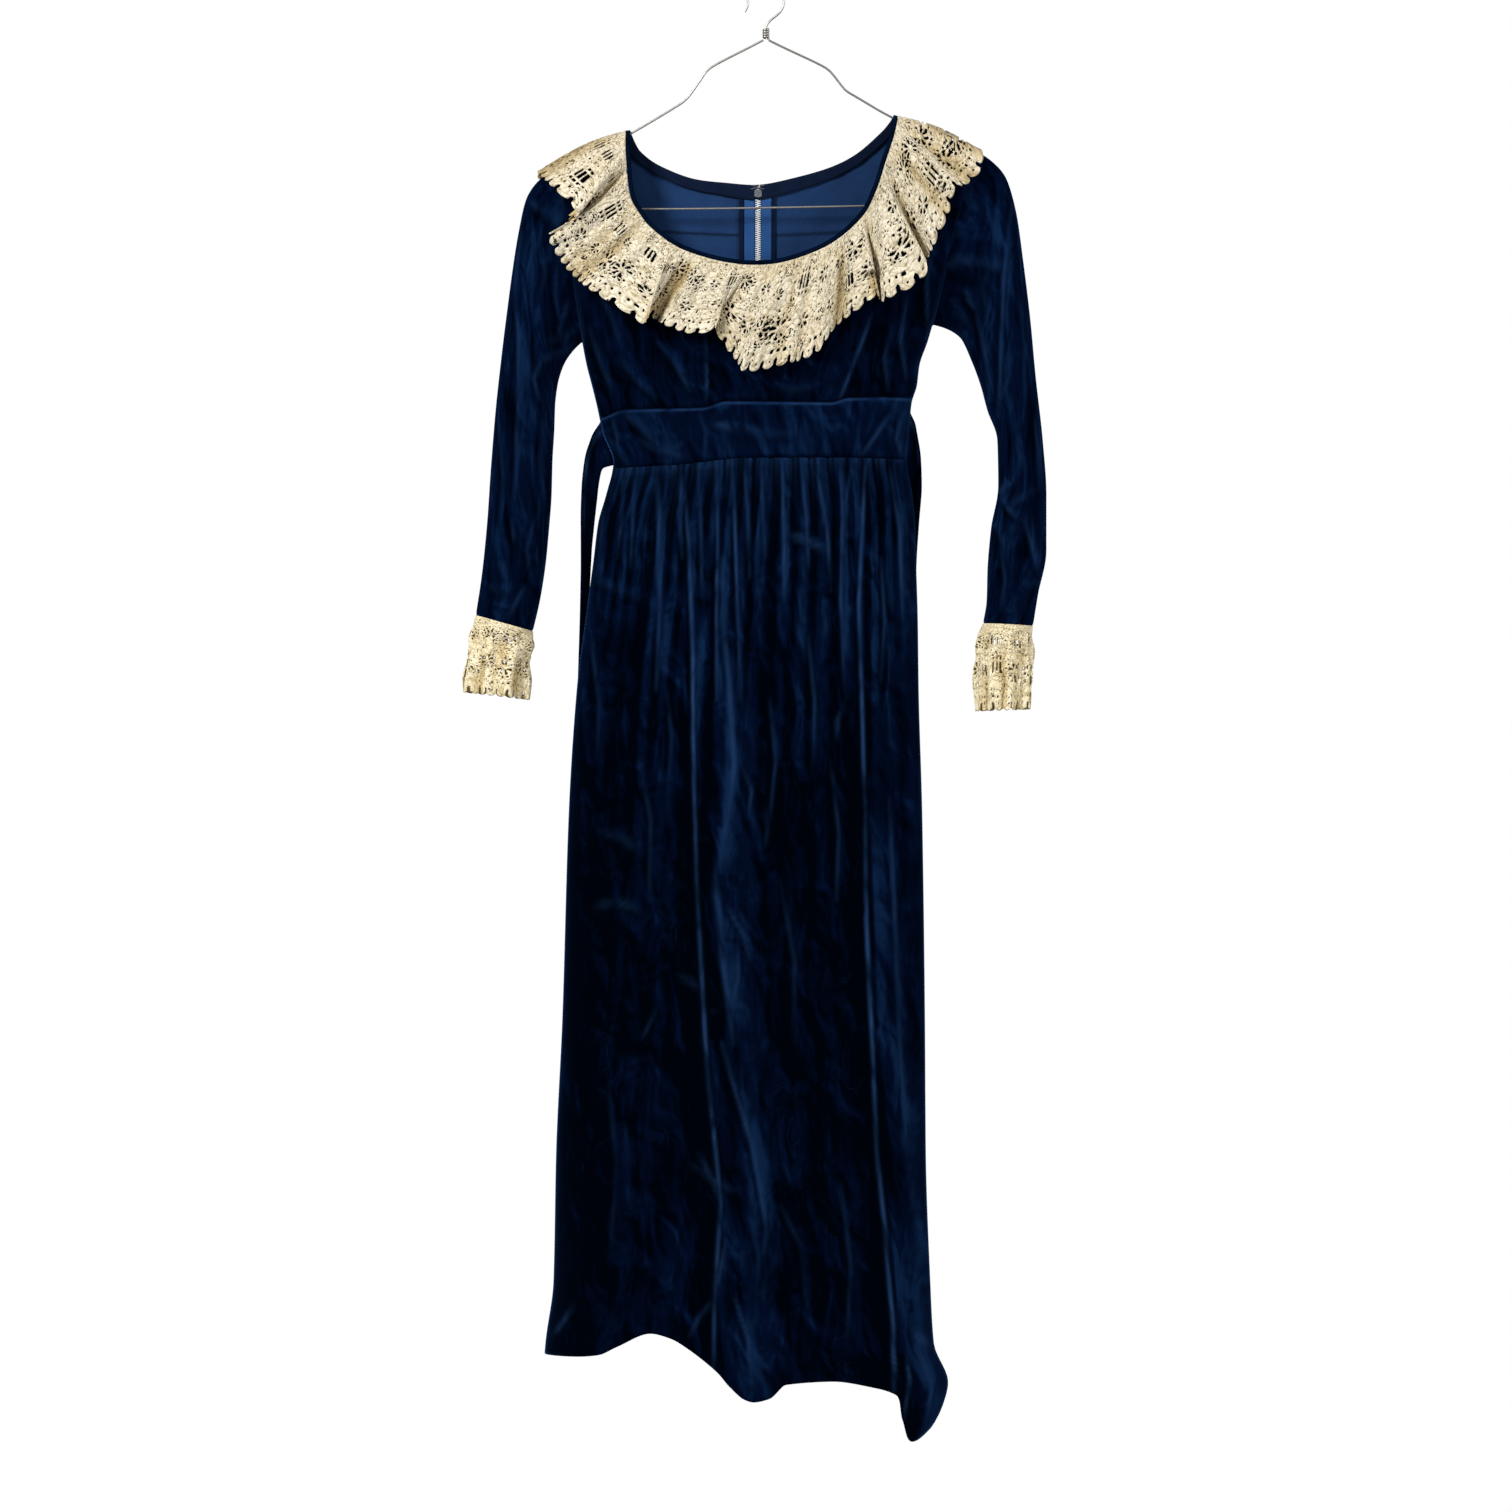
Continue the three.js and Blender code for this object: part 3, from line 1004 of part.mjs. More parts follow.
const backSeamShare = neckShare(NECK_BACK, BACK_SEAM_X);
const SEAM_SHARE = 0.001; // half the gap between the back bindings, as a share of the neck's edge
const leftSteps = range(11).map((t) => t * (backSeamShare - SEAM_SHARE));
const rightSteps = range(11).map((t) => lerp(backSeamShare + SEAM_SHARE, 1, t));
add('binding_front', binding('front', NECK_FRONT, range(22)), 'velvetEdge');
add('binding_back_left', binding('back', NECK_BACK, leftSteps), 'velvetEdge');
add('binding_back_right', binding('back', NECK_BACK, rightSteps), 'velvetEdge');

const gapShare = neckShare(NECK_BACK, BACK_SEAM_X - COLLAR_BACK_GAP);
const gapShareRight = neckShare(NECK_BACK, BACK_SEAM_X + COLLAR_BACK_GAP);
add('collar_front', ruffle('front', NECK_FRONT, RUFFLE_FRONT, 72, 0, 1), 'lace');
add('collar_back_left', ruffle('back', NECK_BACK, RUFFLE_BACK_LEFT, 26, 0, gapShare), 'lace');
add('collar_back_right', ruffle('back', NECK_BACK, RUFFLE_BACK_RIGHT, 26, 1, gapShareRight), 'lace');
add('cuff_left_front', cuffHalf(CUFF_LEFT, 'front'), 'lace');
add('cuff_left_back', cuffHalf(CUFF_LEFT, 'back'), 'lace');
add('cuff_right_front', cuffHalf(CUFF_RIGHT, 'front'), 'lace');
add('cuff_right_back', cuffHalf(CUFF_RIGHT, 'back'), 'lace');

const chainLeft = BACK_SEAM_X - ZIP.chainWidth / 2;
const chainRight = BACK_SEAM_X + ZIP.chainWidth / 2;
const tapeLeft = chainLeft - SEAM_GAP;
const tapeRight = chainRight + SEAM_GAP;
add('zip_tape_left', backStrip(tapeLeft - ZIP.tapeWidth, tapeLeft, TAPE_WALL), 'tape');
add('zip_tape_right', backStrip(tapeRight, tapeRight + ZIP.tapeWidth, TAPE_WALL), 'tape');
add('zip_chain', backStrip(chainLeft, chainRight, ZIP.chainDepth), 'zipMetal');
add('zip_slider', zipSlider(), 'zipMetal');
add('zip_pull_tab', pullTab(), 'zipMetal');
add('neck_hook', neckFastener(NECK_HOOK), 'zipMetal');
add('neck_eye', neckFastener(NECK_EYE), 'zipMetal');

const hangerRun = HANGER_RUN.map((bend) => new THREE.Vector3(bend.x, 0, bend.z));
add('hanger_frame', wire(hangerRun, WIRE_RADIUS, 6), 'wireSteel');
add('hanger_hook', hangerHook(), 'wireSteel');
add('hanger_twist', hangerTwist(), 'wireSteel');

export default group;
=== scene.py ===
"""A long velvet prairie dress with a lace ruffle collar and lace cuffs, on a wire hanger.

Places are in millimetres in the tables and in metres in the meshes; +Z is up and the front faces -Y.
"""

import math
import random

import bmesh
import bpy
import numpy as np
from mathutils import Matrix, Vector


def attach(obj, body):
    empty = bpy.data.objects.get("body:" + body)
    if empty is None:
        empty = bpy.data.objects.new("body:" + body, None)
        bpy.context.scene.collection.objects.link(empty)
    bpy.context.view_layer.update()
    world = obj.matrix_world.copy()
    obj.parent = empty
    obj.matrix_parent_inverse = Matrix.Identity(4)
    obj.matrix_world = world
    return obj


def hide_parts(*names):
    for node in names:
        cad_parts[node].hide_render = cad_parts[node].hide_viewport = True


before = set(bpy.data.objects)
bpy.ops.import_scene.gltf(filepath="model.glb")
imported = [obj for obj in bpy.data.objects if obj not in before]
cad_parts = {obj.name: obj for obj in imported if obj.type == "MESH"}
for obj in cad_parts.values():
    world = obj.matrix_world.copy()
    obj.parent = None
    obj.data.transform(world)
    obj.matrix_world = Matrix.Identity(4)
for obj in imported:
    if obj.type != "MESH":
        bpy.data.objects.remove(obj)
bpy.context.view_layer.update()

MM = 0.001
VELVET = 1.6  # the wall of the velvet with its backing
LACE = 1.2
TIE_WALL = 3.0
BINDING_WIDTH = 5.0
COLLAR_PROUD = 1.9
SEAM_GAP = 0.3
NECK_CLEARANCE = 0.6  # between the bodice's cut neck edge and the binding
HALF_GAP = 0.02  # sewn seams meet
RIDGE_DROP = 38
ROUNDNESS = 2.4
BACK_SEAM_X = -9
ZIP_TOP, ZIP_BOTTOM = -238, -736
DARK_LINE_Z = -277  # a thin dark line painted across the inside of the back, at this height

# height, left and right side seams, depths of the front and the back
BODY = np.array([
    (-146, -244, 246, 22, 18), (-215, -234, 227, 25, 20), (-276, -225, 213, 29, 22),
    (-343, -215, 197, 34, 25), (-401, -206, 181, 37, 27), (-427, -201, 172, 37, 27),
    (-450, -195, 169, 36, 27), (-470, -190, 163, 34, 26), (-505, -182, 160, 33, 26),
    (-536, -171, 158, 33, 27), (-572, -179, 164, 40, 33), (-604, -188, 167, 45, 38),
    (-644, -193, 168, 50, 42), (-712, -202, 170, 55, 47), (-791, -212, 171, 58, 51),
    (-931, -221, 175, 62, 55), (-1157, -228, 178, 66, 59), (-1308, -235, 179, 69, 62),
    (-1453, -238, 184, 72, 64), (-1522, -247, 188, 74, 66), (-1566, -250, 204, 76, 66),
    (-1595, -250, 197, 78, 66), (-1625, -250, 186, 80, 66),
], float)
LEFT, RIGHT = 1, 2
DEPTH = {"front": 3, "back": 4}
FACING = {"front": -1, "back": 1}
# the top and underarm points of each armhole, and its depth in front and at the back
ARMHOLES = {LEFT: (-235, -208, -206, -401, 25, 22), RIGHT: (234, -186, 188, -382, 25, 22)}
EMPIRE_SEAM = np.array([
    (-260, -490), (-187, -487), (-159, -478), (-71, -476), (-43, -469), (72, -470), (92, -465),
    (143, -464), (260, -470),
], float)
SKIRT_SEAM = np.array([
    (-260, -545), (-169, -543), (-100, -540), (-20, -532.5), (84, -532), (155, -533.5), (260, -536),
], float)
# neck end of each shoulder seam and its slope
SHOULDERS = ((-152, -164, 0.53), (143, -147, -0.43))
# share of the way across, height
HEM = {
    "front": np.array([
        (0, -1533), (0.08, -1532), (0.14, -1529), (0.19, -1519), (0.27, -1505), (0.32, -1510),
        (0.37, -1522), (0.435, -1546), (0.46, -1561), (0.5, -1576), (0.525, -1579), (0.56, -1576),
        (0.6, -1561), (0.715, -1558), (0.81, -1565), (0.87, -1573), (0.9, -1600), (0.945, -1625),
        (0.985, -1614), (1, -1592),
    ], float),
    "back": np.array([
        (0, -1533), (0.25, -1516), (0.5, -1530), (0.75, -1534), (0.9, -1556), (1, -1592),
    ], float),
}
# gathers: place across, height, how far down they run
GATHERS = {
    "front": np.array([
        (-164, 2.5, 120), (-152, 3, 90), (-142, 2.5, 110), (-128, 3, 130), (-108, 5, 320),
        (-90, 4, 200), (-75, 3.5, 180), (-55, 2.5, 260), (-38, 3, 280), (-23, 3, 160), (-6, 4, 240),
        (17, 5, 200), (38, 4, 260), (58, 4.5, 220), (80, 4, 200), (95, 3.5, 240), (112, 4.5, 300),
        (127, 3, 160), (142, 4, 200),
    ], float),
    "left": np.array([
        (-158, 3, 120), (-141, 3.5, 170), (-122, 4.5, 260), (-103, 3.5, 150), (-84, 4.5, 240),
        (-64, 4, 300), (-46, 3.5, 180), (-29, 3, 130),
    ], float),
    "right": np.array([
        (12, 3, 130), (29, 3.5, 190), (48, 4.5, 260), (68, 4, 160), (88, 4.5, 300), (107, 4, 210),
        (126, 3.5, 150), (143, 3, 110),
    ], float),
}
SKIRT_EASE = 1.5
GATHER_VALLEY = 0.7
# long folds: height, place across, how high the ridge is and how wide
FOLDS = {
    "front": [np.array(rows, float) for rows in (
        [(-600, -70, 0, 26), (-800, -62, 8, 26), (-1090, -52, 15, 28), (-1300, -38, 15, 32),
         (-1580, -28, 17, 34)],
        [(-600, 118, 0, 20), (-850, 120, 9, 22), (-1120, 130, 12, 22), (-1400, 150, 15, 24),
         (-1620, 170, 24, 34)],
        [(-800, -160, 0, 34), (-1100, -160, 6, 36), (-1540, -182, 10, 40)],
        [(-620, 28, 0, 24), (-760, 30, 6, 26), (-960, 34, 0, 30)],
    )],
    "back": [np.array(rows, float) for rows in (
        [(-600, -104, 0, 26), (-900, -112, 9, 28), (-1250, -126, 13, 30), (-1560, -138, 14, 34)],
        [(-780, -34, 0, 22), (-1050, -38, 10, 26), (-1560, -52, 14, 32)],
        [(-600, 70, 0, 24), (-950, 72, 10, 28), (-1560, 66, 15, 34)],
        [(-900, 130, 0, 20), (-1300, 136, 8, 24), (-1570, 146, 14, 30)],
    )],
}
# bust darts: top, bottom, depth and half width
DARTS = ((-67, -385, -66, -476, 2.5, 13), (112, -390, 81, -476, 2.5, 13))
NECK = {
    "front": np.array([
        (-152, -164), (-151, -196), (-147, -236), (-137, -256), (-123, -273), (-93, -294), (-49, -308),
        (-8, -312), (29, -306), (71, -288), (103, -260), (118, -232), (129, -198), (138, -170),
        (143, -147),
    ], float),
    "back": np.array([
        (-152, -164), (-147, -176), (-139, -188), (-119, -202), (-83, -216), (-44, -221), (-8, -223),
        (29, -216), (71, -204), (101, -189), (127, -167), (138, -155), (143, -147),
    ], float),
}
# the ruffle's outer edge: share of the way along, place across, height, how far it stands off
RUFFLE_FRONT = np.array([
    (0, -252, -208, 5), (0.05, -236, -226, 15), (0.1, -216, -254, 5), (0.113, -216, -264, 2),
    (0.15, -236, -286, 15), (0.19, -224, -311, 9), (0.23, -203, -334, 5), (0.28, -172, -356, 15),
    (0.325, -140, -373, 17), (0.338, -131, -371, 16), (0.348, -130, -368, 3), (0.36, -124, -373, 3),
    (0.4, -103, -385, 14), (0.44, -81, -391, 12), (0.475, -64, -387, 12), (0.487, -60, -384, 3),
    (0.52, -40, -409, 9), (0.56, -16, -431, 14), (0.61, 22, -423, 5), (0.65, 52, -413, 13),
    (0.69, 80, -380, 3), (0.72, 98, -366, 14), (0.755, 122, -352, 17), (0.768, 128, -352, 4),
    (0.81, 148, -344, 14), (0.84, 168, -331, 15), (0.87, 176, -308, 4), (0.9, 188, -284, 16),
    (0.925, 200, -257, 5), (0.95, 206, -234, 12), (0.975, 226, -219, 4), (0.99, 237, -202, 11),
    (1, 238, -185, 5),
], float)
RUFFLE_BACK = {
    "left": np.array([
        (0, -252, -208, 5), (0.1, -246, -232, 13), (0.22, -226, -256, 4), (0.34, -196, -276, 14),
        (0.46, -164, -288, 4), (0.58, -128, -298, 14), (0.7, -96, -302, 4), (0.85, -54, -306, 13),
        (1, -16, -306, 4),
    ], float),
    "right": np.array([
        (0, 238, -185, 5), (0.1, 236, -212, 13), (0.22, 216, -238, 4), (0.34, 186, -260, 14),
        (0.46, 152, -276, 4), (0.58, 116, -290, 14), (0.7, 78, -300, 4), (0.85, 38, -305, 13),
        (1, -2, -306, 4),
    ], float),
}
# tube sections: outer edge's place and height, inner edge's, depth in front and at the back
SLEEVES = {
    "left": np.array([
        (-235, -208, -206, -401, 25, 22), (-253, -219, -216, -411, 27, 24), (-268, -240, -226, -426, 29, 26),
        (-277, -278, -233, -448, 30, 27), (-284, -322, -236, -472, 30, 27), (-290, -367, -237, -500, 29, 26),
        (-297, -424, -239, -534, 28, 26), (-303, -480, -240, -572, 27, 25), (-308, -541, -243, -612, 26, 24),
        (-312, -600, -247, -652, 26, 24), (-318, -660, -253, -690, 25, 23), (-325, -707, -261, -725, 25, 23),
    ], float),
    "right": np.array([
        (234, -186, 188, -382, 25, 22), (252, -198, 201, -386, 27, 24), (268, -216, 217, -396, 29, 26),
        (280, -255, 230, -422, 30, 27), (288, -310, 240, -449, 30, 27), (296, -376, 248, -478, 29, 26),
        (302, -440, 259, -512, 28, 26), (310, -512, 260, -562, 27, 25), (314, -572, 252, -610, 26, 24),
        (314, -634, 248, -655, 26, 24), (305, -682, 247, -690, 25, 23), (299, -719, 243, -716, 25, 23),
    ], float),
}
CUFFS = {
    "left": np.array([
        (-325, -707, -261, -725, 25, 23), (-330, -729, -261, -741, 26, 24),
        (-334, -759, -265, -764, 28, 26), (-337, -789, -268, -797, 29, 27),
    ], float),
    "right": np.array([
        (299, -719, 243, -716, 25, 23), (298, -740, 236, -738, 26, 24),
        (297, -770, 236, -769, 28, 26), (294, -808, 236, -810, 29, 27),
    ], float),
}
# ties: outer edge's place and height, inner edge's, their depths behind the side seams, and 1 where
# the strip lies on the skirt's back instead
TIES = {
    "left": np.array([
        (-188, -485, -173, -538, 0, 0, 0), (-196, -508, -183, -543, 2, 3, 0), (-203, -530, -187, -558, 6, 8, 0),
        (-207, -565, -190, -582, 10, 14, 0), (-208, -600, -193, -608, 13, 20, 0),
        (-208, -644, -197, -648, 16, 27, 0), (-209, -700, -200, -702, 21, 34, 0),
        (-212, -791, -198, -793, 0, 0, 1), (-214, -880, -190, -884, 0, 0, 1), (-214, -980, -184, -986, 0, 0, 1),
        (-215, -1080, -183, -1086, 0, 0, 1), (-216, -1160, -184, -1172, 0, 0, 1),
    ], float),
    "right": np.array([
        (163.4, -472, 158.8, -532, 0, 0, 0), (169, -500, 161, -540, 6, 9, 0), (174, -532, 164, -558, 12, 20, 0),
        (175, -562, 165, -580, 16, 28, 0), (172, -604, 162, -612, 20, 34, 0),
        (169, -660, 155, -664, 0, 0, 1), (168, -760, 146, -764, 0, 0, 1), (168, -880, 140, -884, 0, 0, 1),
        (169, -1000, 138, -1004, 0, 0, 1), (170, -1130, 138, -1142, 0, 0, 1),
    ], float),
}
# How each tie goes into its side seam: which way is inward, how far its root goes in, from where to where
# down its length the gap beside it opens, and how far its inner edge lies behind the dress above that.
TIE_TUCK = {"left": (1, 5.0, 0.0, 0.05, 5.0), "right": (-1, 5.0, 0.34, 0.46, 7.5)}
TIE_CLEARANCE = 5
HANGER_RUN = [
    (-3, -63), (-10, -67), (-58, -91), (-67, -98), (-72, -106), (-86, -126), (-92, -132), (-101, -138),
    (-152, -168.6), (-218, -203.6), (-226, -208.5), (-231, -216), (-232, -226), (-228, -237),
    (-219, -245), (-206, -250), (-132, -253), (108, -249), (206, -246), (219, -241), (228, -232),
    (232, -220), (232, -206), (228, -195), (220, -187), (210, -181), (143, -151.8), (100, -126),
    (91, -121), (86, -116), (77, -104), (71, -97), (62, -91), (10, -67), (3, -63),
]

# creases: points across and up, height of the ridge, half width, lean to one side, and how strong
# a painted highlight runs along its crest, standing partly for crushed pile
SKIRT_CREASES = [
    ([(-90, -578), (-86, -626), (-81, -758), (-81, -842), (-77, -1006)], 2.6, 5, 0.5, 0.75),
    ([(-77, -1006), (-72, -1094), (-66, -1204), (-58, -1277), (-50, -1359), (-57, -1465)], 3.2, 6, 0.5, 0.65),
    ([(-50, -1359), (-57, -1465), (-58, -1544)], 3.0, 6, 0.3, 0.5),
    ([(-49, -1183), (-29, -1250), (-15, -1299), (1, -1387), (-3, -1418)], 3.5, 8, 0.6, 0.45),
    ([(-48, -645), (-48, -718), (-41, -780), (-35, -874), (-43, -936), (-56, -999)], 4.2, 11, 0, 0.4),
    ([(-56, -999), (-49, -1082), (-36, -1183)], 3.4, 12, 0, 0.35),
    ([(111, -541), (106, -626), (103, -701), (106, -795), (110, -936)], 3.2, 5, 0.5, 0.75),
    ([(110, -936), (111, -1046), (118, -1188), (123, -1308)], 3.4, 6, 0.5, 0.75),
    ([(123, -1308), (133, -1402), (141, -1496), (142, -1569)], 3.8, 7, 0.4, 0.75),
    ([(137, -914), (142, -1015), (146, -1126), (150, -1205), (158, -1324)], 3.0, 7, 0, 0.4),
    ([(-179, -550), (-183, -600), (-188, -662)], 1.6, 5, 0, 0.35),
    ([(-159, -547), (-161, -600), (-166, -645)], 1.8, 5, 0, 0.35),
    ([(-148, -544), (-148, -589), (-151, -656)], 1.6, 4, 0, 0.3),
    ([(-122, -544), (-119, -600), (-118, -690), (-122, -791)], 3.0, 7, 0, 0.4),
    ([(-94, -542), (-96, -600), (-93, -645)], 1.6, 4, 0, 0.3),
    ([(-75, -544), (-73, -600), (-71, -690)], 1.6, 4, 0, 0.3),
    ([(-55, -544), (-54, -623), (-55, -712), (-55, -802)], 1.6, 3, 0, 0.6),
    ([(-37, -541), (-35, -600), (-32, -690), (-28, -791)], 1.6, 3, 0, 0.6),
    ([(-24, -540), (-20, -600), (-18, -668)], 2.0, 5, 0, 0.35),
    ([(-6, -538), (-3, -600), (-1, -645)], 1.6, 4, 0, 0.3),
    ([(18, -540), (20, -612), (20, -689)], 2.6, 5, 0, 0.45),
    ([(40, -540), (45, -600), (47, -656)], 2.2, 5, 0, 0.4),
    ([(55, -540), (68, -612), (72, -679)], 2.2, 5, 0, 0.4),
    ([(83, -540), (85, -600), (83, -690), (88, -802)], 2.2, 5, 0, 0.4),
    ([(95, -540), (86, -600), (85, -645)], 1.6, 4, 0, 0.3),
    ([(138, -544), (149, -612), (152, -712)], 2.2, 5, 0, 0.4),
    ([(9, -542), (10, -567), (12, -592)], -3.0, 5, 0, 0),
    ([(-131, -544), (-131, -600), (-134, -690)], -2.6, 6, 0, 0),
    ([(-93, -550), (-92, -600)], -2.0, 4, 0, 0),
    ([(28, -620), (45, -624), (64, -634)], 1.3, 3, 0.4, 0.5),
    ([(-74, -1306), (-60, -1334), (-35, -1346)], 1.6, 4, 0.4, 0.4),
    ([(-85, -1317), (-60, -1334), (-49, -1362)], 1.2, 3, 0.4, 0.3),
    ([(-45, -1402), (-50, -1431), (-58, -1463)], 1.8, 4, 0, 0.5),
    ([(-214, -1475), (-227, -1496), (-241, -1515)], 2.0, 5, 0.3, 0.45),
    ([(162, -1506), (174, -1514), (186, -1525)], 2.4, 4, 0.3, 0.5),
    ([(156, -1519), (159, -1558), (153, -1597)], 2.2, 6, 0, 0.4),
    ([(172, -1530), (184, -1564), (179, -1599)], 1.8, 5, 0, 0.3),
    ([(-141, -869), (-128, -936), (-130, -1026)], 1.4, 8, 0, 0.15),
    ([(-186, -948), (-161, -956), (-141, -972)], 1.2, 4, 0.3, 0.3),
    ([(-188, -1032), (-168, -1026), (-141, -1035)], 1.2, 4, 0.3, 0.3),
    ([(16, -1004), (32, -1093), (30, -1183)], 1.6, 9, 0, 0.15),
    ([(72, -869), (81, -948), (78, -1026)], 1.6, 7, 0, 0.2),
    ([(47, -735), (54, -802), (52, -880)], 1.8, 6, 0, 0.25),
    ([(4, -802), (11, -869), (4, -936)], 1.4, 6, 0, 0.2),
    ([(-110, -791), (-105, -847), (-110, -914)], 1.4, 5, 0, 0.2),
    ([(-27, -874), (-16, -903), (-20, -936)], 1.3, 4, 0, 0.3),
    ([(-43, -1032), (-27, -1060), (-16, -1093)], 1.4, 4, 0.4, 0.35),
    ([(-195, -735), (-186, -802), (-188, -869)], 1.6, 6, 0, 0.25),
    ([(-175, -1228), (-166, -1317), (-172, -1407)], 1.5, 9, 0, 0.12),
    ([(83, -1340), (94, -1429), (90, -1508)], 1.6, 8, 0, 0.15),
    ([(16, -1362), (38, -1407), (45, -1474)], 1.4, 6, 0, 0.15),
    ([(128, -645), (132, -712), (128, -780)], 1.5, 5, 0, 0.25),
    ([(-35, -690), (-29, -735), (-31, -802)], 1.2, 4, 0, 0.3),
    ([(-56, -1463), (-74, -1485), (-85, -1508)], 1.5, 4, 0.3, 0.3),
    ([(-35, -1463), (-20, -1508), (-16, -1558)], 1.8, 6, 0, 0.3),
]
BODICE_CREASES = [
    ([(-67, -391), (-66, -428), (-66, -466)], -1.6, 3, 0, 0.5),
    ([(118, -373), (100, -421), (81, -470)], -1.6, 3, 0, 0.5),
    ([(-119, -404), (-102, -427), (-85, -457)], 1.4, 4, 0.3, 0.3),
    ([(-164, -421), (-146, -444), (-124, -464)], 1.4, 4, 0.3, 0.3),
    ([(-197, -388), (-186, -421), (-172, -457)], 1.6, 5, 0, 0.3),
    ([(139, -388), (132, -421), (137, -457)], 1.4, 5, 0, 0.25),
    ([(156, -354), (150, -399), (157, -444)], 1.6, 5, 0, 0.3),
    ([(-186, -343), (-172, -376), (-161, -410)], 1.2, 5, 0, 0.2),
    ([(184, -298), (179, -343), (181, -388)], 1.8, 5, 0, 0.35),
    ([(4, -449), (27, -457), (52, -452)], 1.0, 4, 0, 0.2),
    ([(-141, -435), (-155, -452), (-161, -468)], -1.4, 4, 0, 0),
]
BAND_CREASES = [
    ([(-159, -480), (-141, -497), (-122, -517)], 1.5, 3.5, 0.4, 0.5),
    ([(-183, -501), (-168, -522), (-151, -543)], 1.5, 3.5, 0.4, 0.45),
    ([(132, -480), (116, -504), (101, -526)], -1.8, 4, 0, 0),
    ([(139, -482), (123, -506), (108, -528)], 1.2, 3, 0, 0.35),
    ([(-59, -495), (-49, -497), (-39, -501)], 1.2, 3, 0, 0.4),
    ([(-141, -511), (-119, -524), (-92, -531)], 1.0, 4, 0, 0.25),
    ([(-29, -500), (4, -506), (38, -504)], 0.8, 5, 0, 0.15),
    ([(-172, -486), (-166, -511), (-167, -533)], 1.2, 4, 0, 0.3),
    ([(-74, -483), (-67, -506), (-69, -531)], 0.8, 5, 0, 0.2),
    ([(60, -486), (67, -511), (63, -529)], 0.8, 5, 0, 0.2),
    ([(150, -488), (146, -511), (152, -529)], 1.2, 4, 0, 0.3),
]
SLEEVE_LEFT_CREASES = [
    ([(-265, -244), (-248, -260), (-228, -276)], 3, 6, 0.4, 0.5),
    ([(-273, -278), (-278, -320), (-280, -363)], 1.6, 6, 0, 0.3),
    ([(-280, -363), (-276, -393), (-277, -486), (-281, -579)], 2.2, 5, 0.4, 0.6),
    ([(-284, -599), (-282, -614), (-280, -628)], 1.8, 4, 0, 0.4),
    ([(-264, -393), (-260, -439), (-258, -486)], -2.2, 6, 0, 0),
    ([(-208, -401), (-228, -412), (-252, -424)], 2.8, 5, 0.5, 0.55),
    ([(-211, -388), (-228, -396), (-244, -405)], 1.8, 4, 0.3, 0.35),
    ([(-220, -354), (-231, -388), (-224, -412)], 1.8, 5, 0, 0.35),
    ([(-233, -311), (-235, -354), (-228, -388)], 1.6, 5, 0, 0.25),
    ([(-252, -424), (-259, -444), (-253, -468)], 1.8, 5, 0, 0.35),
    ([(-270, -676), (-279, -693), (-288, -710)], 1.8, 4, 0.3, 0.4),
    ([(-298, -500), (-293, -556), (-298, -612)], 1.4, 5, 0, 0.25),
    ([(-248, -488), (-253, -533), (-249, -578)], 1.4, 5, 0, 0.3),
    ([(-300, -645), (-291, -668), (-296, -697)], 1.4, 5, 0, 0.3),
    ([(-311, -673), (-300, -681), (-284, -679)], 1.2, 3.5, 0, 0.3),
    ([(-259, -600), (-267, -634), (-262, -668)], 1.4, 5, 0, 0.3),
    ([(-253, -298), (-246, -326), (-253, -354)], 1.4, 6, 0, 0.2),
]
SLEEVE_RIGHT_CREASES = [
    ([(276, -244), (269, -287), (265, -329), (262, -399), (260, -486)], 2.4, 6, 0.4, 0.55),
    ([(194, -323), (212, -311), (234, -314), (263, -323)], 3.2, 5, 0.5, 0.55),
    ([(200, -340), (215, -336), (231, -343)], -2.4, 5, 0, 0),
    ([(222, -345), (227, -356), (234, -367)], 2.4, 4, 0.4, 0.5),
    ([(206, -354), (217, -372), (231, -388)], 2.0, 5, 0, 0.4),
    ([(234, -367), (244, -410), (251, -466)], 2.2, 6, 0, 0.4),
    ([(258, -572), (265, -566), (273, -559)], 2.6, 4, 0.4, 0.5),
    ([(263, -577), (271, -589), (280, -600)], 2.4, 4, 0.4, 0.5),
    ([(271, -584), (284, -578), (300, -567)], 1.6, 4, 0, 0.35),
    ([(289, -603), (297, -634), (304, -664)], 2.0, 5, 0, 0.45),
    ([(304, -668), (295, -673), (286, -678)], 1.6, 4, 0, 0.4),
    ([(284, -354), (289, -410), (287, -466)], 1.4, 6, 0, 0.2),
    ([(300, -488), (304, -528), (305, -567)], 1.4, 5, 0, 0.3),
    ([(262, -628), (267, -668), (262, -703)], 1.4, 5, 0, 0.3),
    ([(279, -500), (282, -533), (276, -561)], 1.6, 5, 0, 0.3),
    ([(251, -600), (260, -612), (265, -632)], 1.6, 4, 0, 0.35),
    ([(208, -388), (220, -394), (228, -408)], 1.6, 4, 0, 0.3),
]
